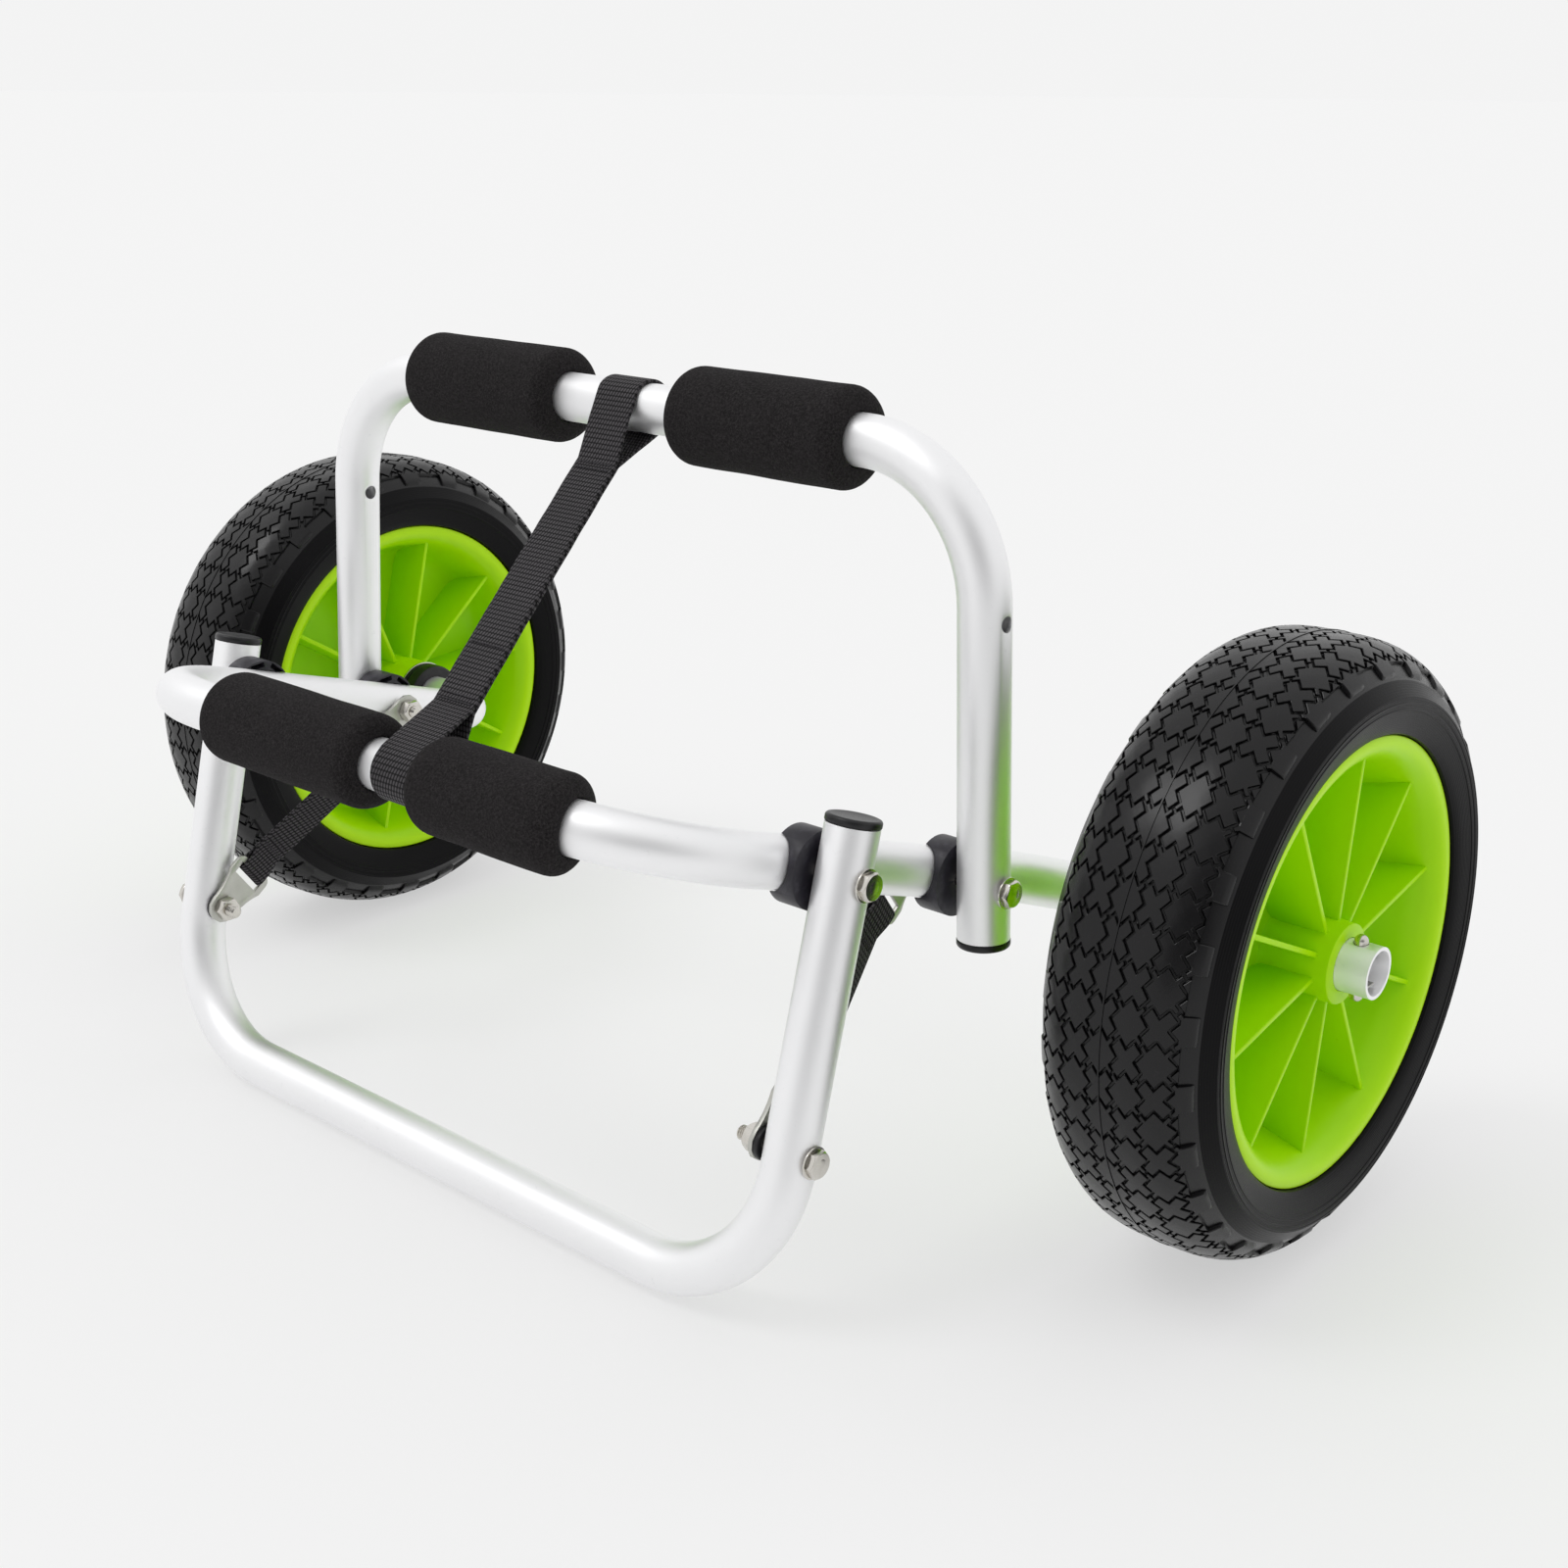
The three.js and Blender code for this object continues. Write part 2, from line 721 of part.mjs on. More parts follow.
// The rim's section as [distance from the middle plane, radius], from the bore's inner end round to itself
function rimProfile() {
  const bore = tubeRadius + runGap;
  const boss = hubBossDiameter / 2;
  const web = webThickness / 2;
  const seat = rimHalfWidth - rimLipThickness;
  const half = [
    [web, boss],
    [web, bowlRootRadius],
    [ribReach, bowlShoulderRadius],
    [rimHalfWidth, bowlMouthRadius],
    [rimHalfWidth, rimLipRadius],
    [seat, rimLipRadius],
    [seat, bowlMouthRadius],
  ];
  const mirroredHalf = half.map(([along, radius]) => [-along, radius]);
  return [
    [-hubInnerReach, bore],
    [-hubInnerReach, boss],
    ...mirroredHalf,
    [0, bowlRootRadius + rimWall],
    ...half.reverse(),
    [hubOuterReach, boss],
    [hubOuterReach, bore],
    [-hubInnerReach, bore],
  ];
}

// One rib plate: it stands on both faces of the web, from the hub to the shoulder of the bowl's wall
function rib(angle) {
  const root = hubBossDiameter / 2 - ribSink;
  const tip = bowlShoulderRadius + ribSink;
  const points = [
    new THREE.Vector2(-ribReach, root),
    new THREE.Vector2(-ribReach, tip),
    new THREE.Vector2(0, bowlRootRadius + ribSink),
    new THREE.Vector2(ribReach, tip),
    new THREE.Vector2(ribReach, root),
  ];
  return slab(outline(points), ribThickness).rotateX(angle - Math.PI / 2);
}

// The two wheels stand turned on the axle by different angles, as in the photograph
function rim(name, turnedBy) {
  const ribs = Array.from({ length: ribCount }, (_, k) => rib(turnedBy + (2 * Math.PI * k) / ribCount));
  return piece(name, joined(turned(rimProfile(), wheelSides), ...ribs), limeRim);
}

// The tyre's section: the crown falls off towards the shoulders, and the beads sit behind the rim's lips
function tyre(name) {
  const crownShares = [1, 0.82, 0.5];
  const crown = crownShares.map((share) => [
    share * crownHalfWidth,
    wheelRadius - crownDrop * share ** crownPower,
  ]);
  const shoulder = wheelRadius - crownDrop;
  const bead = rimLipRadius + seatGap;
  const inside = rimHalfWidth - rimLipThickness - seatGap;
  const half = [
    [inside, bowlMouthRadius + seatGap],
    [inside, bead],
    [rimHalfWidth, bead],
    [tyreHalfWidth, (bead + shoulder) / 2],
    ...crown,
  ];
  const far = half.map(([along, radius]) => [-along, radius]);
  const base = [0, bowlRootRadius + rimWall + seatGap];
  const profile = [[0, wheelRadius], ...half.reverse(), base, ...far, [0, wheelRadius]];
  return piece(name, turned(profile, wheelSides), tyreRubber);
}

function wheel(side) {
  const group = new THREE.Group();
  group.position.set(wheelPlace, 0, axleHeight);
  const turnedBy = side === "left" ? leftRibTurn : rightRibTurn;
  group.add(rim(`${side}_rim`, turnedBy), tyre(`${side}_tyre`));
  return group;
}

// The stop collar and the washer on the stub, inside the hub
function axleStops(side) {
  const bore = tubeRadius + seatGap;
  const collarEnd = collarPlace + collarLength;
  const collar = ring(collarPlace, collarEnd, bore, collarDiameter / 2, collarSides);
  const washerEnd = hubWasherPlace + hubWasherThickness;
  const hubWasher = ring(hubWasherPlace, washerEnd, bore, hubWasherDiameter / 2, collarSides);
  return groupAt(0, axleHeight, [
    piece(`${side}_stop_collar`, collar, blackPlastic),
    piece(`${side}_hub_washer`, hubWasher, polishedSteel),
  ]);
}

// The flange's flat top meets the round bore at its edge
const flangeTop = Math.sqrt(boreRadius ** 2 - (buttonFlangeDiameter / 2) ** 2) - buttonFlangeGap;
const flangeBottom = flangeTop - buttonFlangeThickness;

// A round-topped button standing out of the stub, its flange inside the bore; standing is 1 upwards or -1
// downwards
function springButton(name, standing) {
  const radius = buttonDiameter / 2;
  const tip = tubeRadius + buttonRise;
  const dome = arcPoints(tip - radius, 0, radius, Math.PI / 2, 0, stepsPerRounding).slice(0, -1);
  const profile = [
    [flangeBottom, 0],
    [flangeBottom, buttonFlangeDiameter / 2],
    [flangeTop, buttonFlangeDiameter / 2],
    [flangeTop, radius],
    ...dome.map((point) => [point.x, point.y]),
    [tip, 0],
  ];
  const mesh = piece(name, turned(profile, fastenerSides), polishedSteel);
  mesh.rotation.y = (-standing * Math.PI) / 2;
  mesh.position.x = buttonPlace;
  return mesh;
}

// The folded leaf spring inside the stub that carries both buttons
function buttonSpring(name) {
  const leafTop = flangeBottom - faceGap;
  const leafBottom = leafTop - springLeafThickness;
  const tip = buttonPlace + springTail;
  const bend = buttonPlace - buttonFlangeDiameter / 2;
  const fold = buttonPlace - springLength;
  const upperHalf = [
    [tip, leafTop],
    [bend, leafTop],
    [fold, springNose],
  ];
  const upperInside = [
    [fold + springLeafThickness, springNose - springLeafThickness],
    [bend, leafBottom],
    [tip, leafBottom],
  ];
  const lowerHalf = upperHalf.map(([x, z]) => [x, -z]).reverse();
  const lowerInside = upperInside.map(([x, z]) => [x, -z]).reverse();
  const points = [...upperHalf, ...lowerHalf, ...lowerInside, ...upperInside];
  const shape = outline(points.map(([x, z]) => new THREE.Vector2(x, z)));
  const geometry = slab(shape, springLeafWidth).rotateX(Math.PI / 2);
  return piece(name, geometry, satinSteel);
}

function buttons(side) {
  return groupAt(0, axleHeight, [
    springButton(`${side}_upper_button`, 1),
    springButton(`${side}_lower_button`, -1),
    buttonSpring(`${side}_button_spring`),
  ]);
}

function sidePieces(side) {
  const group = new THREE.Group();
  const upperDirection = upperTailEnd.clone().sub(upperHinge).normalize();
  const kickDirection = kickTailEnd.clone().sub(kickHinge).normalize();
  const upperLinkAt = new THREE.Vector3(upperLinkPlace, upperPivot.y, upperPivot.z);
  const lowerLinkAt = new THREE.Vector3(lowerLinkPlace, lowerBolt.y, lowerBolt.z);
  group.add(
    saddle(`${side}_upper_saddle`, upperPivot, upperLegPlace, upperLegSlope),
    saddle(`${side}_kick_saddle`, kickPivot, kickLegPlace, kickLegSlope),
    pivotFasteners(side, "upper", upperPivot, upperLegPlace, upperLegSlope, upperNutPlace),
    pivotFasteners(side, "kick", kickPivot, kickLegPlace, kickLegSlope, kickNutPlace),
    lowerFasteners(side),
    strapPlate(`${side}_upper_strap_plate`, upperLinkAt, limitDirection),
    strapPlate(`${side}_lower_strap_plate`, lowerLinkAt, limitDirection.clone().negate()),
    limitStrap(`${side}_limit_strap`),
    endCap(`${side}_upper_leg_cap`, upperTailEnd, upperDirection),
    endCap(`${side}_kick_leg_cap`, kickTailEnd, kickDirection),
    wheel(side),
    axleStops(side),
    buttons(side),
  );
  return group;
}

// The main strap seen edge on, round both bars. Its own x runs from the top bar to the front bar, and the
// whole strap leans sideways on the way.
function mainStrapShape(span) {
  const inner = tubeRadius + seatGap;
  const outer = inner + webbing;
  const lean = Math.asin(inner / mainStrapLoop);
  const meet = mainStrapLoop + webbing * Math.tan(lean / 2);
  const meetDistance = Math.hypot(meet, webbing);
  const outerAngle = Math.atan2(webbing, meet) + Math.acos(outer / meetDistance);
  const innerAngle = Math.acos(inner / mainStrapLoop);
  const turn = 2 * Math.PI;
  const topLoop = arcPoints(0, 0, outer, outerAngle, turn - outerAngle, stepsPerLoop);
  const topHollow = arcPoints(0, 0, inner, innerAngle, turn - innerAngle, stepsPerLoop);
  const points = [
    new THREE.Vector2(meet, webbing),
    ...topLoop,
    new THREE.Vector2(meet, -webbing),
  ];
  const hollow = [new THREE.Vector2(mainStrapLoop, 0), ...topHollow];
  const atFront = (point) => new THREE.Vector2(span - point.x, -point.y);
  return outline([...points, ...points.map(atFront)], hollow, hollow.map(atFront));
}

function mainStrap() {
  const topBar = new THREE.Vector3(0, topCorner.y, topCorner.z);
  const run = new THREE.Vector3(0, -frontBarForward, frontBarHeight).sub(topBar);
  const span = run.length();
  const geometry = slab(mainStrapShape(span), mainStrapWidth);
  const position = geometry.attributes.position;
  for (let i = 0; i < position.count; i++) {
    const share = THREE.MathUtils.clamp(position.getX(i) / span, 0, 1);
    const shift = THREE.MathUtils.lerp(mainStrapTopPlace, mainStrapFrontPlace, share);
    position.setZ(i, position.getZ(i) + shift);
  }
  return piece("main_strap", standAlong(geometry, run.normalize(), topBar), webbingBlack);
}

function cart() {
  const group = new THREE.Group();
  const left = sidePieces("left");
  left.scale.x = -1;
  group.add(
    mainFrameTube(),
    upperFrameTube(),
    kickstandTube(),
    foamPad("left_top_pad", upperLine, leftTopPad, topPadDiameter),
    foamPad("right_top_pad", upperLine, rightTopPad, topPadDiameter),
    foamPad("left_front_pad", mainLine, leftFrontPad, frontPadDiameter),
    foamPad("right_front_pad", mainLine, rightFrontPad, frontPadDiameter),
    mainStrap(),
    sidePieces("right"),
    left,
  );
  return group;
}

// The origin is on the floor, under the middle of the whole cart
const whole = new THREE.Group();
const frontReach = frontBarForward + frontPadDiameter / 2;
const assembly = cart();
assembly.position.y = (frontReach - wheelRadius) / 2;
whole.add(assembly);
whole.name = "kayak_cart";

export default whole;
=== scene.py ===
# A folding kayak cart: bent tube frames on two block tread wheels, with foam pads and webbing straps.
# Metres. x runs along the axle, y from the front bar to the back, z up from the floor.
# The right side is modelled once and mirrored in x for the left side.
import math

import bmesh
import bpy
from mathutils import Matrix, Vector, noise


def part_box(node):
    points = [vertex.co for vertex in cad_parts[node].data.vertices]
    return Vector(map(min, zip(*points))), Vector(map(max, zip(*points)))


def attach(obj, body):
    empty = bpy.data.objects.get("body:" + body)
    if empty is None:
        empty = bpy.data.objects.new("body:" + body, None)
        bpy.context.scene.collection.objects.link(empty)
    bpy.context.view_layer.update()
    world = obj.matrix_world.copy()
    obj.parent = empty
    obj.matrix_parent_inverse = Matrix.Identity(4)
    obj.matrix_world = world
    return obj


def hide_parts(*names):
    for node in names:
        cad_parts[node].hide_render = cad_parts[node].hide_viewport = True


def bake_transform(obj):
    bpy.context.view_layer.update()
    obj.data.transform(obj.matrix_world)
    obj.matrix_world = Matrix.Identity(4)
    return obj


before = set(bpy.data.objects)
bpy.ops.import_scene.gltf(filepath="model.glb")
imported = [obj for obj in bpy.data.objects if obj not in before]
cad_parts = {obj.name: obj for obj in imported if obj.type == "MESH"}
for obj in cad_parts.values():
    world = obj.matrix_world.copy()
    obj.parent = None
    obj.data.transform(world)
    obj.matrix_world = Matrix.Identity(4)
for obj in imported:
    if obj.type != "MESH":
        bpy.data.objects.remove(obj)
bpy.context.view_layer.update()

X = Vector((1, 0, 0))
Z = Vector((0, 0, 1))

# The frame tube's outer and inner radius, and the radii of its bends
TUBE = 0.01065
BORE = 0.00915
FRAME_BEND = 0.06
AXLE_BEND = 0.05

# The middles of the axle and of the right wheel, where the stub ends, and the wheel's radius
AXLE = Vector((0, 0.0604, 0.127))
WHEEL = Vector((0.283, 0.0604, 0.127))
STUB_END = 0.3284
WHEEL_RADIUS = 0.127

# The gap between pieces that fit together, and the distance below which two points are one
GAP = 0.0003
SAME_PLACE = 1e-6

# The floor's own colour, and the colour in which the camera sees the surround
FLOOR_SHARE = 0.83
PALE = 0.9


# Modelling by hand


def deselect():
    """Leaves edit mode and selects nothing."""
    if bpy.context.object and bpy.context.object.mode == "EDIT":
        leave()
    bpy.ops.object.select_all(action="DESELECT")


def pick(*pieces):
    """Selects only these pieces and makes the first one active."""
    deselect()
    for piece in pieces:
        piece.select_set(True)
    bpy.context.view_layer.objects.active = pieces[0]


def leave():
    bpy.ops.object.mode_set(mode="OBJECT")


def select_all():
    bpy.ops.mesh.select_all(action="SELECT")


def merge():
    bpy.ops.mesh.remove_doubles(threshold=SAME_PLACE)


def extrude(way):
    bpy.ops.mesh.extrude_region_move(TRANSFORM_OT_translate={"value": way})


def reopen(piece):
    """Opens a piece in edit mode, all selected."""
    pick(piece)
    bpy.ops.object.mode_set(mode="EDIT")
    select_all()


def primitive(add, **where):
    """Adds a primitive on its own, with its place in its mesh."""
    deselect()
    add(**where)
    bpy.ops.object.transform_apply(location=True, rotation=True, scale=True)
    return bpy.context.object


def start(add, **where):
    """Adds a primitive and opens it in edit mode, all selected."""
    piece = primitive(add, **where)
    reopen(piece)
    return piece


def choose(kind, test):
    """Selects only the vertices, edges or faces that pass a test."""
    bpy.ops.mesh.select_all(action="DESELECT")
    bpy.ops.mesh.select_mode(type=kind)
    mesh = bpy.context.object.data
    shape = bmesh.from_edit_mesh(mesh)
    parts = {"VERT": shape.verts, "EDGE": shape.edges, "FACE": shape.faces}[kind]
    for part in parts:
        part.select_set(bool(test(part)))
    bmesh.update_edit_mesh(mesh)


def move_points(piece, place):
    """Moves every vertex of a piece to the place that a function gives for it."""
    for vertex in piece.data.vertices:
        vertex.co = place(vertex.co)
    piece.data.update()


def close_up():
    """Merges doubles, turns the faces outwards and leaves edit mode."""
    select_all()
    merge()
    bpy.ops.mesh.normals_make_consistent(inside=False)
    leave()


def face_outwards(piece):
    reopen(piece)
    bpy.ops.mesh.normals_make_consistent(inside=False)
    leave()


def turn_over(piece):
    reopen(piece)
    bpy.ops.mesh.flip_normals()
    leave()


def modify(piece, kind, **settings):
    """Adds a modifier and applies it."""
    pick(piece)
    modifier = piece.modifiers.new(kind, kind)
    for name, value in settings.items():
        setattr(modifier, name, value)
    bpy.ops.object.modifier_apply(modifier=modifier.name)


def soften(piece, width=0.0, segments=2, angle=32):
    """Rounds the sharp edges of a piece and shades the rest smooth."""
    if width:
        modify(
            piece, "BEVEL", width=width, segments=segments, limit_method="ANGLE",
            angle_limit=math.radians(angle), harden_normals=False,
        )
    pick(piece)
    bpy.ops.object.shade_smooth_by_angle(angle=math.radians(angle))
    return piece


def carve(piece, tool, operation="DIFFERENCE"):
    """Cuts a piece with a tool, or keeps what it shares with it, and throws the tool away."""
    modify(piece, "BOOLEAN", operation=operation, object=tool, solver="EXACT")
    bpy.data.objects.remove(tool)


def gather(piece, *others):
    """Joins other shapes into a piece."""
    pick(piece, *others)
    bpy.ops.object.join()
    return piece


def turned(profile, centre, axis=X, steps=48):
    """A profile of (along, radius) pairs turned about an axis through a centre."""
    axis = axis.normalized()
    side = axis.orthogonal().normalized()
    points = [centre + axis * along + side * radius for along, radius in profile]
    shape = start(bpy.ops.mesh.primitive_plane_add, size=0.001, location=points[0])
    bpy.ops.mesh.select_mode(type="VERT")
    bpy.ops.mesh.merge(type="CENTER")
    for before, after in zip(points, points[1:]):
        extrude(after - before)
    select_all()
    bpy.ops.mesh.spin(steps=steps, angle=2 * math.pi, center=centre, axis=axis)
    close_up()
    return shape


def ring(low, high, inner, outer, centre, steps=48):
    """A plain ring between two places along x."""
    profile = [(low, inner), (low, outer), (high, outer), (high, inner), (low, inner)]
    return turned(profile, centre, steps=steps)


def disc(low, high, radius, centre, steps):
    """A plain closed disc between two places along x."""
    return turned([(low, 0), (low, radius), (high, radius), (high, 0)], centre, steps=steps)


def rod(low, high, radius, steps=32):
    """A closed rod from one point to another."""
    length = (high - low).length
    return turned([(0, 0), (0, radius), (length, radius), (length, 0)], low, high - low, steps)


def arc(centre, radius, start_angle, end_angle, steps):
    """The points of an arc in a plane, with both of its ends."""
    points = []
    for i in range(steps + 1):
        angle = start_angle + (end_angle - start_angle) * i / steps
        points.append((centre[0] + radius * math.cos(angle), centre[1] + radius * math.sin(angle)))
    return points


def straight(first, last, steps):
    """The points between two others, without them."""
    return [
        (first[0] + (last[0] - first[0]) * i / steps, first[1] + (last[1] - first[1]) * i / steps)
        for i in range(1, steps)
    ]


def around_the_axle(count, centre):
    """Repeats what is selected in edit mode evenly round an axle."""
    for _ in range(count - 1):
        bpy.ops.mesh.duplicate()
        bpy.ops.transform.rotate(
            value=2 * math.pi / count, orient_axis="X", orient_type="GLOBAL", center_override=centre,
        )


def copied(piece):
    """A copy in the same place, with its own mesh."""
    other = piece.copy()
    other.data = piece.data.copy()
    bpy.context.collection.objects.link(other)
    return other


def mirrored(piece):
    """A copy on the other side of the cart, with its own mesh."""
    pick(piece)
    bpy.ops.object.duplicate()
    other = bpy.context.object
    reopen(other)
    bpy.ops.transform.resize(value=(-1, 1, 1), center_override=(0, 0, 0))
    face_outwards(other)
    return other


# Shader maths


class Socket:
    """A shader value that arithmetic can be written with."""

    def __init__(self, finish, output):
        self.finish = finish
        self.output = output

    def __add__(self, other):
        return self.finish.maths("ADD", self, other)

    def __sub__(self, other):
        return self.finish.maths("SUBTRACT", self, other)

    def __mul__(self, other):
        return self.finish.maths("MULTIPLY", self, other)

    def __truediv__(self, other):
        return self.finish.maths("DIVIDE", self, other)

    def __pow__(self, other):
        return self.finish.maths("POWER", self, other)

    def __rsub__(self, other):
        return self.finish.maths("SUBTRACT", other, self)

    __radd__ = __add__
    __rmul__ = __mul__


class Finish:
    """A material under construction: its nodes and its surface shader."""

    def __init__(self, name, **constants):
        self.material = bpy.data.materials.new(name)
        self.material.use_nodes = True
        self.nodes = self.material.node_tree
        self.surface = self.nodes.nodes["Principled BSDF"]
        for socket, value in constants.items():
            self.surface.inputs[socket.replace("_", " ")].default_value = value

    def node(self, kind, settings=None, inputs=None, output=0):
        """Makes a node: its settings first, then the values or links of its sockets."""
        made = self.nodes.nodes.new(kind)
        for name, value in (settings or {}).items():
            setattr(made, name, value)
        for key, value in (inputs or {}).items():
            if isinstance(value, Socket):
                self.nodes.links.new(value.output, made.inputs[key])
            elif value is not None:
                made.inputs[key].default_value = value
        return Socket(self, made.outputs[output])

    def feed(self, socket, value):
        self.nodes.links.new(value.output, self.surface.inputs[socket])

    def place(self):
        return self.node("ShaderNodeTexCoord", output="Object")

    def noise(self, scale, detail=2.0, roughness=0.5):
        inputs = {"Vector": self.place(), "Scale": scale, "Detail": detail, "Roughness": roughness}
        return self.node("ShaderNodeTexNoise", None, inputs, "Fac")

    def axis(self, vector, name):
        return self.node("ShaderNodeSeparateXYZ", None, {0: vector}, name)

    def from_the_axle(self):
        """The distance from the line of the two axles."""
        place = self.place()
        across = self.axis(place, "Y") - AXLE.y
        up = self.axis(place, "Z") - AXLE.z
        return (across * across + up * up) ** 0.5

    def maths(self, operation, first, second=None):
        return self.node("ShaderNodeMath", {"operation": operation}, {0: first, 1: second})

    def step(self, value, low, high):
        """0 below low, 1 above high, smooth between."""
        settings = {"interpolation_type": "SMOOTHSTEP"}
        inputs = {"Value": value, "From Min": low, "From Max": high}
        return self.node("ShaderNodeMapRange", settings, inputs)

    def mix(self, share, first, second):
        inputs = {0: share, 6: first, 7: second}
        return self.node("ShaderNodeMix", {"data_type": "RGBA"}, inputs, 2)

    def rays(self):
        """1 for a camera ray, and 1 for a camera ray, a glossy one or one through something clear."""
        camera, glossy, clear = (
            self.node("ShaderNodeLightPath", output=f"Is {kind} Ray")
            for kind in ("Camera", "Glossy", "Transmission")
        )
        return camera, self.maths("MINIMUM", camera + glossy + clear, 1.0)

    def paint(self, share, first, second):
        self.feed("Base Color", self.mix(share, first, second))

    def bump(self, height, distance, strength=1.0):
        inputs = {"Height": height, "Distance": distance, "Strength": strength}
        self.feed("Normal", self.node("ShaderNodeBump", None, inputs, "Normal"))


class Surround(Finish):
    """The world, made from the same kinds of nodes."""

    def __init__(self, world):
        world.use_nodes = True
        self.nodes = world.node_tree


def colour(red, green, blue):
    """A shader colour from the screen values of a colour."""
    def linear(value):
        share = value / 255
        return share / 12.92 if share <= 0.04045 else ((share + 0.055) / 1.055) ** 2.4
    return (linear(red), linear(green), linear(blue), 1)


# Finishes


def anodised_finish():
    """Bead blasted and anodised aluminium, a little cloudy, with faint handling marks."""
    finish = Finish("satin_anodised", Metallic=0.9, Roughness=0.48)
    cloud = finish.noise(22, 3)
    grain = finish.noise(2600, 1)
    marks = finish.step(finish.noise(340, 4, roughness=0.7), 0.62, 0.74)
    tone = finish.mix(cloud, colour(246, 246, 247), colour(252, 252, 253))
    finish.paint(marks * 0.35, tone, colour(228, 229, 231))
    finish.feed("Roughness", cloud * 0.06 + grain * 0.08 + 0.41)
    finish.bump(grain, 0.00003, 0.5)
    return finish.material


def foam_finish():
    """Closed cell foam: matt black with pale specks where the cells are cut open."""
    finish = Finish("foam_sleeve", Roughness=0.95, Specular_IOR_Level=0.1)
    inputs = {"Vector": finish.place(), "Scale": 1500}
    cells = finish.node("ShaderNodeTexVoronoi", None, inputs, "Distance")
    grain = finish.noise(1100, 6, roughness=0.85)
    blotch = finish.noise(90, 4)
    specks = finish.step(grain, 0.36, 0.7)
    tone = finish.mix(blotch, colour(18, 17, 17), colour(30, 28, 29))
    finish.paint(specks * 0.6, tone, colour(70, 67, 68))
    finish.bump(cells * 0.5 + grain, 0.0005, 0.8)
    return finish.material


def rim_finish():
    """Glossy lime plastic, painted paler and yellower along the lip as a highlight, with the slight
    ripple of a moulding.
    """
    finish = Finish("lime_moulding", Roughness=0.3, Specular_IOR_Level=0.18)
    # Painted light: the lip is painted paler and yellower as a highlight, as though its thin plastic
    # catches the light.
    lip_painted_highlight = finish.step(finish.from_the_axle(), 0.0835, 0.088)
    flow = finish.noise(30, 3)
    tone = finish.mix(flow, colour(171, 229, 0), colour(180, 236, 2))
    finish.paint(lip_painted_highlight * 0.6, tone, colour(190, 240, 22))
    finish.feed("Roughness", finish.noise(160, 2) * 0.16 + 0.24)
    finish.bump(finish.noise(520, 2) * 0.3 + flow, 0.0002, 0.35)
    return finish.material


def tread_finish():
    """Block tread rubber, with the dusty bloom that gathers on its raised faces."""
    finish = Finish(
        "tread_rubber", Roughness=0.45, Specular_IOR_Level=0.12, Coat_Weight=0.45, Coat_Roughness=0.22
    )
    grain = finish.noise(1700, 3, roughness=0.7)
    bloom = finish.noise(45, 3)
    pits = finish.step(finish.noise(700, 2), 0.66, 0.72)
    tone = finish.mix(bloom, colour(4, 3, 5), colour(9, 8, 10))
    finish.paint(pits * 0.3, tone, colour(30, 27, 31))
    finish.feed("Roughness", bloom * 0.2 + grain * 0.16 + 0.16)
    finish.bump(grain + finish.noise(240, 2) * 0.8, 0.00014, 0.55)
    return finish.material


def groove_finish():
    """The unworn, shinier rubber down in the grooves."""
    finish = Finish("groove_rubber", Roughness=0.3, Specular_IOR_Level=0.3)
    grain = finish.noise(1400, 2)
    finish.paint(grain, colour(8, 8, 9), colour(15, 14, 16))
    finish.feed("Roughness", grain * 0.2 + 0.2)
    finish.bump(grain, 0.0001, 0.4)
    return finish.material


def sidewall_finish():
    """Smooth moulded sidewall, satin, with faint circular lines from the mould."""
    finish = Finish("sidewall_rubber", Roughness=0.3, Specular_IOR_Level=0.1)
    lines = finish.maths("SINE", finish.from_the_axle() * 7500)
    bloom = finish.noise(35, 3)
    grain = finish.noise(1500, 2)
    finish.paint(bloom, colour(6, 6, 7), colour(12, 11, 13))
    finish.feed("Roughness", bloom * 0.12 + grain * 0.1 + 0.2)
    finish.bump(lines * 0.3 + grain, 0.00008, 0.6)
    return finish.material


def webbing_finish():
    """Woven polypropylene webbing. The map runs in metres: u along the strap and v across it."""
    finish = Finish("black_webbing", Roughness=0.75, Specular_IOR_Level=0.25)
    weave = finish.node("ShaderNodeTexCoord", output="UV")
    along = finish.axis(weave, "X") / 0.0022
    row = finish.maths("FLOOR", along)
    in_row = along - row
    shift = finish.maths("MODULO", row, 2.0) * 0.5
    across = finish.axis(weave, "Y") / 0.00165 + shift + in_row * 0.45
    from_middle = (across - finish.maths("FLOOR", across)) * 2.0 - 1.0
    height = finish.maths("SINE", in_row * math.pi) ** 0.5 * (1.0 - from_middle * from_middle)
    lint = finish.noise(1100, 3)
    # Painted light: the crests of the weave are painted pale as a highlight, flecked by the lint noise,
    # and the dips between them are painted dark as shade.
    crest = finish.step(height, 0.3, 0.8)
    pale = finish.mix(lint, colour(54, 51, 54), colour(80, 77, 80))
    finish.paint(crest, colour(14, 13, 15), pale)
    finish.feed("Roughness", 0.85 - crest * 0.3)
    finish.bump(height + lint * 0.25, 0.0003, 0.8)
    return finish.material


def thread_finish():
    """Twisted sewing thread."""
    finish = Finish("sewing_thread", Roughness=0.6)
    twist = finish.noise(3000, 2)
    finish.paint(twist, colour(22, 21, 24), colour(58, 54, 60))
    finish.bump(twist, 0.0001, 0.6)
    return finish.material


def steel_finish(name, dark, pale, roughness):
    """Steel with fine turning or rolling marks."""
    finish = Finish(name, Metallic=1.0, Roughness=roughness)
    grain = finish.noise(1900, 3, roughness=0.7)
    stain = finish.noise(180, 3)
    finish.paint(stain, dark, pale)
    finish.feed("Roughness", stain * 0.14 + grain * 0.1 + (roughness - 0.1))
    finish.bump(grain, 0.00003, 0.5)
    return finish.material


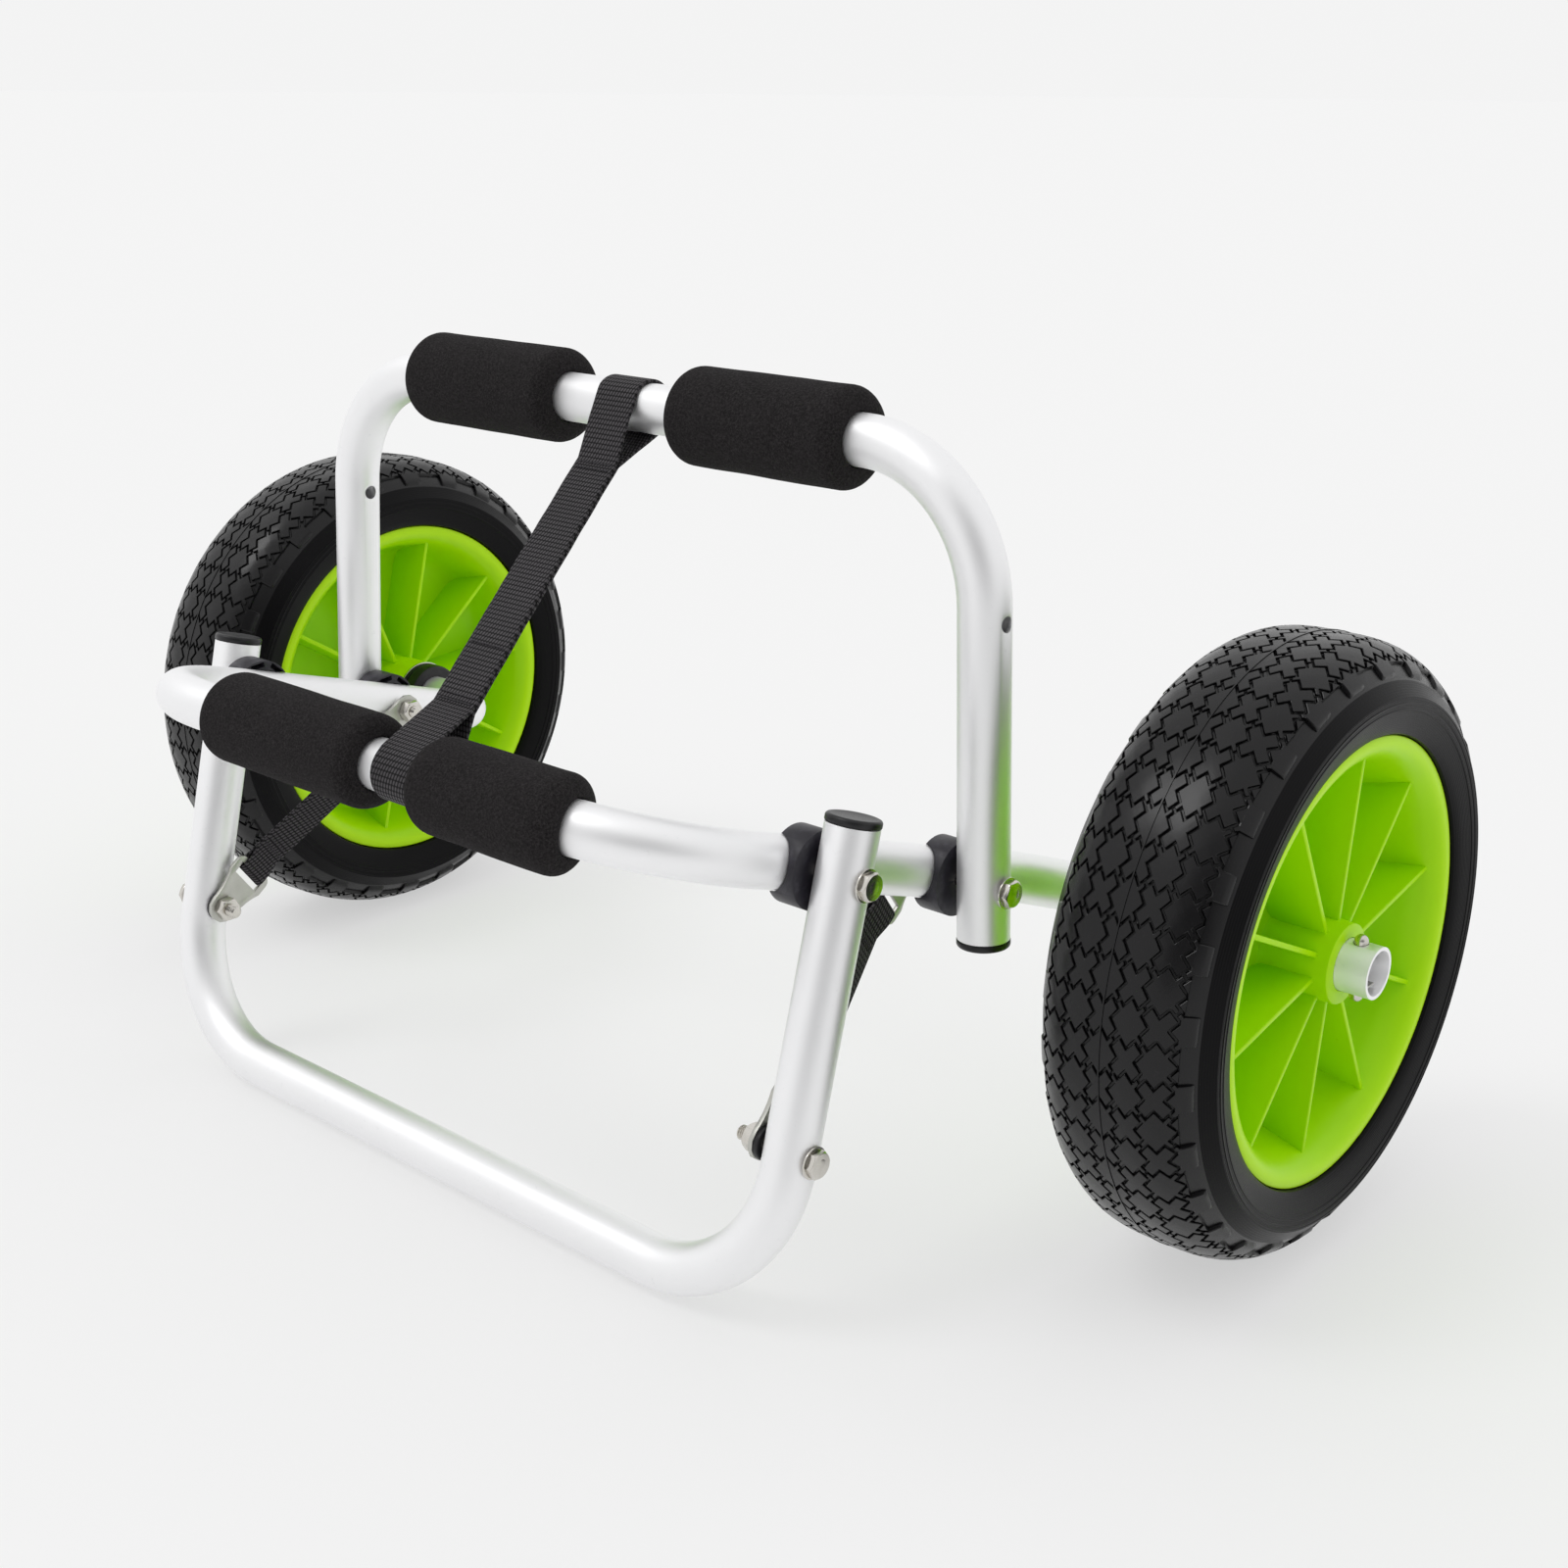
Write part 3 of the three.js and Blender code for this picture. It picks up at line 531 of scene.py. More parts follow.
def moulded_finish(name, dark, pale, roughness):
    """Textured moulded plastic, paler where it has been rubbed."""
    finish = Finish(name, Roughness=roughness, Specular_IOR_Level=0.4)
    grain = finish.noise(2100, 3, roughness=0.65)
    rub = finish.step(finish.noise(150, 4, roughness=0.65), 0.42, 0.72)
    finish.paint(rub, dark, pale)
    finish.feed("Roughness", grain * 0.2 + (roughness - 0.1))
    finish.bump(grain, 0.00009, 0.6)
    return finish.material


TREAD = tread_finish()
GROOVE = groove_finish()
SIDEWALL = sidewall_finish()
WEBBING = webbing_finish()
THREAD = thread_finish()

# The finishes of the slots whose pieces all have the same one
FINISHES = {
    "anodised_tube": anodised_finish(),
    "foam": foam_finish(),
    "rim_plastic": rim_finish(),
    "polished_steel": steel_finish("polished_steel", colour(196, 192, 184), colour(226, 223, 217), 0.2),
    "satin_steel": steel_finish("satin_steel", colour(180, 180, 173), colour(205, 205, 199), 0.4),
    "saddle_plastic": moulded_finish("saddle_plastic", colour(30, 28, 36), colour(54, 52, 60), 0.42),
    "black_plastic": moulded_finish("black_plastic", colour(16, 16, 18), colour(30, 29, 32), 0.38),
}


def dress(piece, name, material):
    """Names a piece and gives it its material. With None it keeps those that it has."""
    piece.name = name
    piece.data.name = name
    if material:
        piece.data.materials.clear()
        piece.data.materials.append(material)


def finished(piece, name, body, slot, node):
    """Names a piece, gives it its finish, and puts it on its body in place of its CAD node."""
    dress(piece, name, FINISHES.get(slot))
    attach(piece, body)
    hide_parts(node)


def both_sides(piece, name, body, slot, node):
    """Finishes a right hand piece and its mirrored copy. SIDE in a body's name stands for the side."""
    other = mirrored(piece)
    for shape, side in ((piece, "right"), (other, "left")):
        finished(shape, f"{side}_{name}", body.replace("SIDE", side), slot, f"{side}_{node}")


# Frame tubes


def arm_point(share):
    """A point of the lower frame's right arm, from the axle at share 0 to the front corner at 1."""
    return Vector((0.1792 - 0.02 * share, 0.0604 - 0.2284 * share, 0.127 + 0.0711 * share))


def flipped(point):
    return Vector((-point.x, point.y, point.z))


def past(hinge, corner, tail):
    """The point a tail's length past a hinge, away from a corner."""
    return hinge + (hinge - corner).normalized() * tail


UPPER_PIVOT = arm_point(0.0779 / 0.2284)
KICK_PIVOT = arm_point(0.1575 / 0.2284)
UPPER_HINGE = UPPER_PIVOT + X * 0.0237
KICK_HINGE = KICK_PIVOT + X * 0.0237
TOP_CORNER = UPPER_HINGE + Vector((-0.009, 0.0028, 0.1681))
KICK_CORNER = Vector((KICK_HINGE.x - 0.0023, -0.1391, TUBE))
UPPER_TAIL = past(UPPER_HINGE, TOP_CORNER, 0.0216)
KICK_TAIL = past(KICK_HINGE, KICK_CORNER, 0.0203)
FRONT_CORNER = arm_point(1)
REAR_CORNER = arm_point(0)


def bent_tube(half, bends, hole):
    """A hollow tube, bent at its corners, the same on both sides. The right side's corners, bends and
    drilled hole are given, from the middle outwards, the hole as its centre, axis and radius."""
    corners = [flipped(point) for point in half[::-1]] + half
    along = (corners[1] - corners[0]).normalized()
    turn = along.to_track_quat("Z", "Y").to_euler()
    add = bpy.ops.mesh.primitive_circle_add
    tube = start(add, vertices=40, radius=TUBE, location=corners[0], rotation=turn)
    place = corners[0]
    for i, bend in enumerate(bends[::-1] + bends):
        corner = corners[i + 1]
        arrive = (corner - corners[i]).normalized()
        depart = (corners[i + 2] - corner).normalized()
        angle = arrive.angle(depart)
        setback = bend * math.tan(angle / 2)
        bend_start = corner - arrive * setback
        inward = (depart - arrive * arrive.dot(depart)).normalized()
        extrude(bend_start - place)
        bpy.ops.mesh.spin(
            steps=22, angle=angle, center=bend_start + inward * bend, axis=inward.cross(arrive)
        )
        place = corner + depart * setback
    extrude(corners[-1] - place)
    close_up()
    face = tube.data.polygons[0]
    from_start = face.center - corners[0]
    if face.normal.dot(from_start - along * along.dot(from_start)) < 0:
        turn_over(tube)
    modify(tube, "SOLIDIFY", thickness=TUBE - BORE, offset=-1)
    if hole:
        centre, axis, radius = hole
        reach = axis * 0.018
        drills = [rod(place - reach, place + reach, radius) for place in (centre, flipped(centre))]
        carve(tube, gather(*drills))
    return soften(tube, 0.0003, angle=40)


def frame_tubes():
    stub = AXLE + X * STUB_END
    button_place = AXLE + X * 0.3201
    spare = UPPER_HINGE.lerp(TOP_CORNER, 0.1068 / 0.1681)
    for name, body, half, bends, hole in (
        ("main", "main_frame", [FRONT_CORNER, REAR_CORNER, stub], [FRAME_BEND, AXLE_BEND],
         (button_place, Z, 0.0031)),
        ("upper", "upper_frame", [TOP_CORNER, UPPER_TAIL], [FRAME_BEND], (spare, X, 0.00325)),
        ("kickstand", "kickstand", [KICK_CORNER, KICK_TAIL], [FRAME_BEND], None),
    ):
        tube = bent_tube(half, bends, hole)
        finished(tube, f"bent_{name}_tube", body, "anodised_tube", f"{body}_tube")


# Foam sleeves


def foam_sleeve(low, high, radius, corner, leg):
    """A sleeve round a bar, turned straight and then laid along the bar and into its bend."""
    length = high - low
    rounding = 0.007
    profile = [(0.0008, TUBE + GAP), (0, TUBE + 0.001)]
    profile += arc((rounding, radius - rounding), rounding, math.pi, math.pi / 2, 8)
    far = [(length - along, size) for along, size in reversed(profile)]
    outside = straight(profile[-1], far[0], 30)
    sleeve = turned([*profile, *outside, *far, profile[0]], Vector((0, 0, 0)), steps=64)
    inward = leg.normalized()
    inward = (inward - X * inward.dot(X)).normalized()
    across = X.cross(inward)
    turn = X.angle(leg)
    bend_from = corner.x - FRAME_BEND * math.tan(turn / 2)

    def lay_on_the_bar(point):
        along = low + point.x
        side = math.copysign(1, along)
        over = max(0.0, abs(along) - bend_from) / FRAME_BEND
        swell = 1 + 0.012 * noise.noise(Vector((along * 45, point.y * 60, point.z * 60)))
        toward = (point.y * inward.y + point.z * inward.z) * swell
        off = (point.y * across.y + point.z * across.z) * swell
        middle = Vector((side * min(abs(along), bend_from), corner.y, corner.z))
        middle += X * side * FRAME_BEND * math.sin(over) + inward * FRAME_BEND * (1 - math.cos(over))
        lateral = inward * math.cos(over) - X * side * math.sin(over)
        return middle + lateral * toward + across * off

    move_points(sleeve, lay_on_the_bar)
    return soften(sleeve, angle=50)


def foam_sleeves():
    arm = REAR_CORNER - FRONT_CORNER
    leg = UPPER_TAIL - TOP_CORNER
    for name, low, high, radius, corner, away, body in (
        ("left_top", -0.129, -0.036, 0.0207, TOP_CORNER, leg, "upper_frame"),
        ("right_top", 0.036, 0.1275, 0.0207, TOP_CORNER, leg, "upper_frame"),
        ("left_front", -0.085, 0.013, 0.0194, FRONT_CORNER, arm, "main_frame"),
        ("right_front", 0.0465, 0.121, 0.0194, FRONT_CORNER, arm, "main_frame"),
    ):
        sleeve = foam_sleeve(low, high, radius, corner, away)
        finished(sleeve, f"{name}_foam_sleeve", body, "foam", f"{name}_pad")


# Webbing


def band(path, width, rows):
    """A closed loop of webbing, 1.3 mm thick, on a path of (along, off) points in a plane. It is made
    in that plane, and its map runs in metres, u along and v across."""
    count = len(path)
    lengths = [0.0]
    for before, after in zip(path, path[1:]):
        lengths.append(lengths[-1] + math.dist(before, after))
    add = bpy.ops.mesh.primitive_grid_add
    strip = primitive(add, x_subdivisions=count - 1, y_subdivisions=rows, size=1)
    for layer in strip.data.uv_layers.active.data:
        place = layer.uv.x * (count - 1)
        before = min(int(place), count - 2)
        share = place - before
        layer.uv.x = lengths[before] + (lengths[before + 1] - lengths[before]) * share
        layer.uv.y *= width
    move_points(strip, lambda point: Vector(
        (*path[round((point.x + 0.5) * (count - 1))], point.y * width)
    ))
    reopen(strip)
    merge()
    leave()
    modify(strip, "SOLIDIFY", thickness=0.0013, offset=0)
    return strip


def middle_line(node):
    """The middle line of a CAD node along x: its point at x 0, the node's lowest x and its highest."""
    low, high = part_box(node)
    return Vector((0, (low.y + high.y) / 2, (low.z + high.z) / 2)), low.x, high.x


def loop_path(near, span, steps):
    """A closed path: its near end, and the same again turned round at a span from it."""
    far = [(span - along, -off) for along, off in near]
    there, back = straight(near[-1], far[0], steps), straight(far[-1], near[0], steps)
    return [*near, *there, *far, *back, near[0]]


def put(piece, place, *axes):
    """Puts a piece at a place, with its own x, y and z along three directions."""
    basis = Matrix(axes).transposed().to_4x4()
    basis.translation = place
    piece.data.transform(basis)


def stitch_rows(places, width, off, count):
    """Rows of stitches across a strap, made flat: short thread humps on both of its faces."""
    shape = start(bpy.ops.mesh.primitive_uv_sphere_add, segments=8, ring_count=5, radius=0.0005)
    bpy.ops.transform.resize(value=(0.8, 0.9, 2.2))
    leave()
    humps = []
    pitch = width * 0.84 / count
    for along in places:
        for i in range(count):
            for face in (off, -off):
                hump = copied(shape)
                hump.data.transform(Matrix.Translation((along, face, (i - (count - 1) / 2) * pitch)))
                humps.append(hump)
    bpy.data.objects.remove(shape)
    return gather(*humps)


def lay(strap, stitches, slide, rounding, *place):
    """Moves a strap and its stitches from the plane that they were made in to their place."""
    for piece in (strap, stitches):
        move_points(piece, slide)
        put(piece, *place)
        face_outwards(piece)
    soften(strap, rounding, angle=60)
    soften(stitches)


def sewn(piece, name, material, first, second, low, high):
    """Names a strap or its stitches, gives it its material and bakes its place into its mesh. The two
    bodies that it is given are not used.
    """
    dress(piece, name, material)
    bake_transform(piece)
    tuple(low)
    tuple(high)


def main_strap():
    """The long loop of webbing round the top bar and the front bar, its two layers sewn together."""
    top = Vector((0, TOP_CORNER.y, TOP_CORNER.z))
    run = Vector((0, FRONT_CORNER.y, FRONT_CORNER.z)) - top
    span = run.length
    # The loop's radius on the bar, how far along its layers meet, and half their distance there
    middle, meet, half = TUBE + 0.00105, 0.033, 0.00078
    reach = math.hypot(meet, half)
    angle = math.atan2(half, meet) + math.acos(middle / reach)
    loop = arc((0, 0), middle, angle, 2 * math.pi - angle, 36)
    upper, lower = (meet, half), (meet, -half)
    near = [upper, *straight(upper, loop[0], 8), *loop, *straight(loop[-1], lower, 8), lower]
    width = 0.023
    strap = band(loop_path(near, span, 40), width, rows=8)
    far = span - meet
    places = [meet + 0.002, meet + 0.005, far - 0.002, far - 0.005, far - 0.03]
    stitches = stitch_rows(places, width, 2 * half + 0.0001, 9)

    def slide(point):
        share = min(1.0, max(0.0, point.x / span))
        wander = 0.00035 * noise.noise(Vector((point.x * 90, 3.7, point.y * 40)))
        rise = 0.0006 * math.sin(math.pi * share)
        return Vector((point.x, point.y - rise, point.z + 0.0015 + 0.032 * share + wander))

    along = run.normalized()
    lay(strap, stitches, slide, 0.00035, top, along, X.cross(along), X)
    ends = top, top + run
    sewn(strap, "long_webbing_loop", WEBBING, "upper_frame", "main_frame", *ends)
    sewn(stitches, "long_webbing_stitches", THREAD, "upper_frame", "main_frame", *ends)
    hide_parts("main_strap")


def limit_strap():
    """A limiting strap between the plates on the right, looped round the bar of each."""
    top = Vector((0, UPPER_PIVOT.y, UPPER_PIVOT.z))
    run = middle_line("right_lower_bolt")[0] - top
    upper_place, lower_place = 0.1593, 0.1734
    length = run.length
    # How far along the layers meet, pass the plate's edge and reach its bar, and their distances off
    meet, past_plate, on_the_bar = 0.033 + GAP, 0.0262, 0.0222
    half, inside = 0.0008, 0.00175 + GAP
    near = [(meet, -half), (past_plate, -inside), (on_the_bar, -inside)]
    near += arc((on_the_bar - 0.00048, 0), inside, -math.pi / 2, -1.5 * math.pi, 10)[1:-1]
    near += [(on_the_bar, inside), (past_plate, inside), (meet, half)]

    def slide(point):
        share = min(1.0, max(0.0, (point.x - meet) / (length - 2 * meet)))
        return point + Vector((0, upper_place + (lower_place - upper_place) * share, 0))

    width = 0.015
    strap = band(loop_path(near, length, 24), width, rows=6)
    far = length - meet
    places = [meet + 0.003, meet + 0.006, far - 0.003, far - 0.006]
    stitches = stitch_rows(places, width, 0.00165, 6)
    along = run.normalized()
    lay(strap, stitches, slide, 0.0003, top, along, X, along.cross(X))
    low = top + X * upper_place
    high = low + run
    for side, piece, threads, flip in (
        ("right", strap, stitches, Vector),
        ("left", mirrored(strap), mirrored(stitches), flipped),
    ):
        ends = flip(low), flip(high)
        sewn(piece, f"{side}_limit_webbing", WEBBING, "main_frame", "kickstand", *ends)
        sewn(threads, f"{side}_limit_stitches", THREAD, "main_frame", "kickstand", *ends)
        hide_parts(f"{side}_limit_strap")


# Fasteners, each on the middle line of its CAD node

# The heads' and nuts' width over the flats, and the bolts' radius
ACROSS_FLATS = 0.01
BOLT = 0.003


def hexagon(low, high, centre, chamfer_low=True):
    """A hexagon along x with its corners turned off at its high end, and at the low one if asked."""
    corner = ACROSS_FLATS / math.sqrt(3)
    shape = primitive(
        bpy.ops.mesh.primitive_cylinder_add, vertices=6, radius=corner, depth=high - low,
        location=(0, 0, (low + high) / 2),
    )
    move_points(shape, lambda point: centre + Vector((point.z, point.y, -point.x)))
    cut, past_end = 0.0007, 0.0001
    flat = ACROSS_FLATS * 0.475
    beyond = corner * 1.01
    first, last = low - past_end, high + past_end
    low_edge = [(first, flat), (low + cut, beyond)] if chamfer_low else [(first, beyond)]
    profile = [(first, 0), *low_edge, (high - cut, beyond), (last, flat), (last, 0)]
    carve(shape, turned(profile, centre), operation="INTERSECT")
    return soften(shape, 0.00015, segments=2, angle=25)


def threaded(low, high, centre):
    """An M6 thread along x, a ring for each turn, pointed to its low end."""
    crest, root, turn = 0.00297, 0.0025, 0.001
    place = low + 0.0006
    profile = [(low, 0), (low, 0.0022), (place, 0.0028)]
    while place < high - turn / 2:
        profile += [(place + 0.0002, crest), (place + 0.00045, crest), (place + 0.00075, root)]
        place += turn
    profile += [(high, crest), (high, 0)]
    return turned(profile, centre, steps=28)


def bolt(name, body):
    """A hexagon headed bolt: a chamfered head with a round seat, and a thread at its inner end."""
    centre, low, high = middle_line(f"right_{name}")
    head = hexagon(high - 0.0029, high, centre, chamfer_low=False)
    seat = ring(high - 0.0031, high - 0.0028, 0.002, 0.0049, centre)
    rise, sink = 0.00002, 0.00012
    profile = [(high - sink, 0), (high - sink, BOLT), (high + rise, 0.0026), (high + rise, 0)]
    crown = turned(profile, centre)
    shank = threaded(low, low + 0.014, centre)
    plain = disc(low + 0.0138, high - 0.0025, BOLT, centre, 28)
    piece = gather(*map(soften, (head, seat, crown, shank, plain)))
    both_sides(piece, name + "_hex", body, "polished_steel", name)


def nut(name, body):
    """A hexagon nut, chamfered at both ends."""
    centre, low, high = middle_line(f"right_{name}")
    block = hexagon(low, high, centre)
    carve(block, disc(low - 0.001, high + 0.001, BOLT, centre, 28))
    both_sides(soften(block), name + "_hex", body, "polished_steel", name)


def washer(name, body, slot):
    centre, low, high = middle_line(f"right_{name}")
    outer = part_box(f"right_{name}")[1].z - centre.z
    piece = ring(low, high, 0.0032, outer, centre)
    both_sides(soften(piece, 0.00018), name + "_ring", body, slot, name)


def fasteners():
    bodies = {"upper_pivot": "main_frame", "kick_pivot": "main_frame", "lower": "kickstand"}
    for name, body in bodies.items():
        bolt(f"{name}_bolt", body)
        nut(f"{name}_nut", body)
        washer(f"{name}_washer", body, "polished_steel")
    washer("lower_spacer", "kickstand", "black_plastic")


def strap_plates():
    """The slotted plates: copies of the CAD plates with their edges broken."""
    for name, body in (("upper_strap_plate", "main_frame"), ("lower_strap_plate", "kickstand")):
        pick(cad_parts[f"right_{name}"])
        bpy.ops.object.duplicate()
        plate = bpy.context.object
        for key in [key for key in plate.keys() if key.startswith("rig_")]:
            del plate[key]
        plate.parent = None
        reopen(plate)
        merge()
        bpy.ops.mesh.dissolve_limited(angle_limit=math.radians(3))
        close_up()
        soften(plate, 0.0003, angle=40)
        both_sides(plate, name + "_pressing", body, "satin_steel", name)


# Saddles, caps and what sits on the stubs


def saddle(name, pivot):
    """A moulded block, grooved for the arm, with cored pockets in its wings and a flat outer face."""
    outer_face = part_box(f"right_{name}")[1].x
    block = disc(0, outer_face - pivot.x, 0.0155, pivot, 56)
    arm = (FRONT_CORNER - REAR_CORNER).normalized()
    carve(block, rod(pivot - arm * 0.03, pivot + arm * 0.03, TUBE + GAP, steps=56))
    across = X.cross(arm).normalized()
    for side in (1, -1):
        for tilt in (-0.42, 0.42):
            direction = (across * math.cos(tilt) + X.cross(across) * math.sin(tilt)) * side
            pocket = primitive(bpy.ops.mesh.primitive_cube_add, size=1)
            sides = X * 0.012, direction * 0.0024, X.cross(direction) * 0.0076
            put(pocket, pivot + direction * 0.0133, *sides)
            carve(block, pocket)
    carve(block, rod(pivot - X * 0.02, pivot + X * 0.03, 0.0033))
    soften(block, 0.0005, angle=38)
    both_sides(block, name + "_block", "main_frame", "saddle_plastic", name)


def leg_cap(name, end, direction, body):
    """A plug and its lid, with a soft edge and a slightly sunken top."""
    lid = TUBE + 0.0002
    profile = [
        (-0.008, 0), (-0.008, BORE - 0.0006), (-0.0072, BORE - GAP), (GAP, BORE - GAP),
        (GAP, lid - 0.0002), (0.0006, lid), (0.0022, lid), (0.0027, lid - 0.0002),
        (0.0031, lid - 0.0006), (0.0033, lid - 0.0012), (0.0032, lid - 0.0021), (0.003, lid - 0.0031),
        (0.003, 0),
    ]
    cap = turned(profile, end, direction, steps=56)
    both_sides(soften(cap, angle=35), name + "_plug", body, "black_plastic", name)


def stub_pieces():
    """The stop collar, the hub washer and the spring buttons on the right stub, and the left ones."""
    low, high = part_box("right_stop_collar")
    outer = (high.z - low.z) / 2
    inner = TUBE + GAP
    groove = outer - 0.0006
    profile = [
        (low.x, inner), (low.x, outer - 0.001), (low.x + 0.0006, outer - 0.0002),
        (low.x + 0.0015, outer), (high.x - 0.0025, outer), (high.x - 0.0023, groove),
        (high.x - 0.0018, groove), (high.x - 0.0016, outer), (high.x - 0.0004, outer),
        (high.x, outer - 0.0005), (high.x, inner), (low.x, inner),
    ]
    collar = soften(turned(profile, AXLE, steps=64))
    both_sides(collar, "stop_collar_ring", "main_frame", "black_plastic", "stop_collar")
    low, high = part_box("right_hub_washer")
    plain = soften(ring(low.x, high.x, inner, (high.z - low.z) / 2, AXLE, steps=64), 0.0002)
    both_sides(plain, "hub_washer_ring", "main_frame", "polished_steel", "hub_washer")
    for word, sign, body in (("upper", 1, "above"), ("lower", -1, "below")):
        low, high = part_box(f"right_{word}_button")
        centre = AXLE + X * ((low.x + high.x) / 2)
        radius = 0.0028
        dome = TUBE + 0.0007
        flange = (low.z - AXLE.z) if sign > 0 else (AXLE.z - high.z)
        profile = [(flange, 0), (flange, 0.0038), (flange + 0.0012, 0.004), (flange + 0.0012, radius)]
        profile += arc((dome, 0), radius, math.pi / 2, 0, 8)
        button = soften(turned(profile, centre, Z * sign, steps=36))
        name, node = f"{word}_spring_button", f"{word}_button"
        both_sides(button, name, f"SIDE_button_{body}", "polished_steel", node)


# Wheels


def rim(phase):
    """The moulded rim on the right stub: bowl, web, hub and ten ribs."""
    half = [
        (0.00175, 0.064), (0.0019, 0.068), (0.0027, 0.0712), (0.0045, 0.0736), (0.008, 0.0758),
        (0.0175, 0.0785), (0.025, 0.0806), (0.029, 0.0826), (0.0312, 0.0848), (0.0322, 0.0866),
        (0.0325, 0.088), (0.0325, 0.0901), (0.032, 0.0912), (0.031, 0.0915), (0.0295, 0.0915),
        (0.0295, 0.0862),
    ]
    hub = [(0.0308, 0.0165), (0.006, 0.017), (0.003, 0.0182), (0.0019, 0.021)]
    outer_end = [(0.032, 0.01095), (0.032, 0.0157), (0.0316, 0.0163)]
    inner_end = [(-0.04, 0.01095), (-0.04, 0.0157), (-0.0396, 0.0163), (-0.0388, 0.0165)]
    inside = inner_end + [(-along, radius) for along, radius in hub[1:] + half]
    profile = [*inside, (0, 0.0775), *half[::-1], *hub[::-1], *outer_end[::-1], inside[0]]
    moulding = soften(turned(profile, WHEEL, steps=128), angle=35)
    root, tip, reach, thickness = 0.015, 0.0818, 0.0264, 0.0022
    rib = primitive(
        bpy.ops.mesh.primitive_cube_add, size=1, location=(0, 0, (root + tip) / 2),
        scale=(2 * reach, thickness, tip - root),
    )
    reopen(rib)
    bpy.ops.mesh.bisect(plane_co=(0, 0, 0), plane_no=(1, 0, 0))
    leave()

    def draft(point):
        """Thicker in the middle, where the mould parts, and lower there at the tip."""
        if abs(point.x) >= SAME_PLACE:
            return point
        at_tip = point.z > (root + tip) / 2
        return Vector((point.x, point.y * 1.28, tip - 0.006 if at_tip else root))

    move_points(rib, draft)
    soften(rib, 0.0005, segments=3, angle=50)
    spin = Matrix.Rotation(-phase, 3, "X")
    move_points(rib, lambda point: WHEEL + spin @ point)
    reopen(rib)
    around_the_axle(10, WHEEL)
    leave()
    return gather(moulding, soften(rib, angle=40))


# The tread's repeats round the tyre, the length of one, half a cell's width and half the tread's width
PERIODS = 28
PITCH = 2 * math.pi * WHEEL_RADIUS / PERIODS
ROW = 0.0107
TREAD_EDGE = 0.0284


def outwards(place):
    """The way from the wheel's axis to a place."""
    return Vector((0, place.y - WHEEL.y, place.z - WHEEL.z))


def on_the_tyre(along, across, height, phase):
    """The point at a length round the tread, a distance across it and a height above its surface."""
    seam_height = 0.0003
    shoulder, drop, power = 0.0356, 0.016, 3.6
    share = min(abs(across) / shoulder, 1.0)
    tilt = math.atan(drop * power / shoulder * share ** (power - 1))
    off = math.copysign(math.sin(tilt), across) * height
    angle = along / WHEEL_RADIUS + phase
    reach = WHEEL_RADIUS - seam_height - drop * share ** power + math.cos(tilt) * height
    return Vector((
        WHEEL.x + across + off, WHEEL.y + reach * math.sin(angle), WHEEL.z + reach * math.cos(angle),
    ))


def round_the_tyre(piece):
    """Repeats one length of tread for the whole tyre."""
    modify(
        piece, "ARRAY", count=PERIODS, use_relative_offset=False, use_constant_offset=True,
        constant_offset_displace=(PITCH, 0, 0),
    )


def second_material(piece, material, test):
    """Gives the faces that pass a test the second material of a piece."""
    piece.data.materials.append(material)
    reopen(piece)
    choose("FACE", test)
    piece.active_material_index = 1
    bpy.ops.object.material_slot_assign()
    leave()


